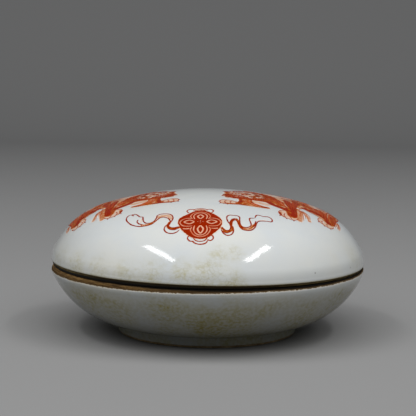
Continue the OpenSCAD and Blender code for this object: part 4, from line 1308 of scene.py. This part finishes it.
class SEALBOX_OT_coat_glaze(bpy.types.Operator):
    """Coat the lid and the box with glaze, inside and outside"""

    bl_idname = "seal_box.coat_glaze"
    bl_label = "Coat with glaze"

    def execute(self, context):
        ware, glaze = context.scene.seal_box_ware, porcelain_glaze("porcelain glaze")
        for name, outline, mouth, edges, body, node, wander, lean, seed in (
            ("lid_glaze", LID, 1, (False, True), "lid", "lid_outer_glaze", 0.25, -0.75, 3.0),
            ("dome_glaze", DOME, 1, (False, True), "lid", "lid_inner_glaze", 1.0, 0.0, 5.0),
            ("box_glaze", BOX, 0, (True, True), "box", "box_outer_glaze", 1.0, 0.62, 1.0),
            ("well_glaze", WELL, 0, (True, False), "box", "box_inner_glaze", 1.0, 0.0, 7.0),
            ("recess_glaze", RECESS, 0, (True, False), "box", "foot_recess_glaze", 0.4, 0.0, 9.0),
        ):
            profile, reach = glaze_profile(outline, mouth, edges)
            obj = turned(
                name, profile, reach, glaze, ware.segments, wander * ware.wander, lean * ware.lean, seed
            )
            finish_piece(obj, body, "glaze", node)
        return {"FINISHED"}


class SEALBOX_OT_paint_lid(bpy.types.Operator):
    """Paint two lions with a brocade ball on the lid"""

    bl_idname = "seal_box.paint_lid"
    bl_label = "Paint the lid"

    def execute(self, context):
        painting = context.scene.seal_box_painting
        enamel, washed = iron_red_enamel(), porcelain_glaze("washed porcelain glaze", washed=True)
        ball, right, left = (Painting(painting.seed + i) for i in range(3))
        ball.lay = lambda p: p * [0.989, 1] + [0.37, 0]
        paint_ball(ball)
        paint_ribbons(ball)
        paint_lion(right)
        # The left lion is the right one's mirror image across the ball, a little further back.
        left.lay = lambda p: p * [-0.965, 0.93] + np.outer(p[:, 0], [0, 0.02]) + [-5.8, 1.0]
        paint_lion(left)
        for name, work in (("ball", ball), ("lion_right", right), ("lion_left", left)):
            finish_piece(wash_film(name + "_washes", work, washed, 0.02), "lid", "glaze")
            finish_piece(brushed_lines(name + "_lines", work, enamel, painting.thickness, 0.025), "lid", "glaze")
        return {"FINISHED"}


class SEALBOX_OT_press_paste(bpy.types.Operator):
    """Fill the well with seal paste"""

    bl_idname = "seal_box.press_paste"
    bl_label = "Fill with seal paste"

    def execute(self, context):
        paste = context.scene.seal_box_paste
        obj = paste_mound(cinnabar_paste(paste.colour), paste.turns, paste.ridge)
        finish_piece(obj, "box", "paste", "seal_paste")
        return {"FINISHED"}


class SEALBOX_OT_set_stage(bpy.types.Operator):
    """Set the floor, the lamps and the camera"""

    bl_idname = "seal_box.set_stage"
    bl_label = "Set the stage"

    def execute(self, context):
        stage = context.scene.seal_box_stage
        material, add = new_finish("pale floor")
        sockets = {0: self.seen(add), 6: linear("#606060"), 7: stage.floor}
        colour = add("ShaderNodeMix", sockets, data_type="RGBA")[2]
        surface = add("ShaderNodeBsdfDiffuse", {"Color": colour})[0]
        add("ShaderNodeOutputMaterial", {"Surface": surface})
        # The floor runs back and sweeps up into the backdrop.
        half, back, bend, top = 1800, 900, 500, 2600
        sweep = [(-half, 0), (back, 0)]
        sweep += [(back + bend * math.sin(a), bend - bend * math.cos(a)) for a in np.radians(np.arange(5, 91, 5))]
        sweep.append((back + bend, top))
        points = [(x, y, z) for y, z in sweep for x in (-half, half)]
        faces = [(2 * i, 2 * i + 1, 2 * i + 3, 2 * i + 2) for i in range(len(sweep) - 1)]
        floor = put("floor", new_mesh("floor", points, faces))
        floor.data.polygons.foreach_set("use_smooth", [True] * len(faces))
        floor.data.materials.append(material)

        for name, ends, width, power in (
            ("strip_left", ((-334, -54), (-246, -396)), 48, stage.strip_light),
            ("strip_right", ((322, -38), (283, -366)), 44, stage.strip_light),
        ):
            self.lamp(name, ends, 600, width, power)
        soft = self.lamp("soft_overhead", ((0, 150), (0, -1250)), 1050, 2600, stage.soft_light)
        soft.visible_glossy = False

        # The room is dim, and looks like the backdrop where the floor ends.
        world = bpy.data.worlds.new("Room")
        world.use_nodes = True
        world.node_tree.nodes.clear()
        add = functools.partial(add_node, world.node_tree)
        seen = self.seen(add)
        strength = add("ShaderNodeMix", {0: seen, 2: 0.14, 3: 0.24}, data_type="FLOAT")[0]
        room = add("ShaderNodeBackground", {"Color": linear("#c8ccd0"), "Strength": strength})[0]
        add("ShaderNodeOutputWorld", {"Surface": room})
        context.scene.world = world

        camera = bpy.data.objects.new("camera", bpy.data.cameras.new("camera"))
        context.scene.collection.objects.link(camera)
        camera.data.lens = stage.lens
        camera.data.sensor_width = 36
        camera.data.clip_start, camera.data.clip_end = 0.02, 20
        # The camera looks a little down and is turned a little, in radians.
        down, roll, spot = 0.115, 0.0123, (-0.09, -412.5, 87.18)
        ahead = Vector((0, math.cos(down), -math.sin(down)))
        right, up = Vector((1, 0, 0)), Vector((0, math.sin(down), math.cos(down)))
        right, up = right * math.cos(roll) + up * math.sin(roll), up * math.cos(roll) - right * math.sin(roll)
        turn = Matrix((right, up, -ahead)).transposed().to_4x4()
        camera.matrix_world = Matrix.Translation(Vector(spot) * MM) @ turn
        context.scene.camera = camera
        context.scene.view_settings.view_transform = "Standard"
        return {"FINISHED"}

    def seen(self, add):
        """1 where a ray carries what the camera sees, straight, mirrored or through glass, and otherwise 0."""
        rays = add("ShaderNodeLightPath")
        seen = add("ShaderNodeMath", {0: rays["Is Camera Ray"], 1: rays["Is Glossy Ray"]}, operation="MAXIMUM")[0]
        return add("ShaderNodeMath", {0: seen, 1: rays["Is Transmission Ray"]}, operation="MAXIMUM")[0]

    def lamp(self, name, ends, height, width, power):
        """A strip or panel of light between two points, at a height and turned to the box."""
        first, last = (Vector((*end, height)) * MM for end in ends)
        centre, along = (first + last) / 2, (last - first).normalized()
        ahead = (Vector((0, 0, 0.03)) - centre).normalized()
        across = ahead.cross(along).normalized()
        along = across.cross(ahead).normalized()
        data = bpy.data.lights.new(name, "AREA")
        data.shape = "RECTANGLE"
        data.size, data.size_y = width * MM, (last - first).length
        data.energy = power
        lamp = bpy.data.objects.new(name, data)
        turn = Matrix((-across, along, -ahead)).transposed().to_4x4()
        lamp.matrix_world = Matrix.Translation(centre) @ turn
        bpy.context.scene.collection.objects.link(lamp)
        return lamp


class SEALBOX_PT_panel(bpy.types.Panel):
    bl_label = "Seal paste box"
    bl_idname = "SEALBOX_PT_panel"
    bl_space_type = "VIEW_3D"
    bl_region_type = "UI"
    bl_category = "Seal paste box"

    def draw(self, context):
        for key, group in GROUPS.items():
            for value in group.__annotations__:
                self.layout.prop(getattr(context.scene, key), value)
        for step in STEPS:
            self.layout.operator(step.bl_idname)


STEPS = (
    SEALBOX_OT_turn_clay,
    SEALBOX_OT_coat_glaze,
    SEALBOX_OT_paint_lid,
    SEALBOX_OT_press_paste,
    SEALBOX_OT_set_stage,
)
GROUPS = {
    "seal_box_ware": WareSettings,
    "seal_box_painting": PaintingSettings,
    "seal_box_paste": PasteSettings,
    "seal_box_stage": StageSettings,
}


def register():
    for key, group in GROUPS.items():
        bpy.utils.register_class(group)
        setattr(bpy.types.Scene, key, bpy.props.PointerProperty(type=group))
    for cls in (*STEPS, SEALBOX_PT_panel):
        bpy.utils.register_class(cls)


def unregister():
    for cls in (SEALBOX_PT_panel, *reversed(STEPS)):
        bpy.utils.unregister_class(cls)
    for key, group in GROUPS.items():
        delattr(bpy.types.Scene, key)
        bpy.utils.unregister_class(group)


def main():
    register()
    bpy.ops.seal_box.turn_clay()
    bpy.ops.seal_box.coat_glaze()
    bpy.ops.seal_box.paint_lid()
    bpy.ops.seal_box.press_paste()
    bpy.ops.seal_box.set_stage()


if __name__ == "__main__":
    main()
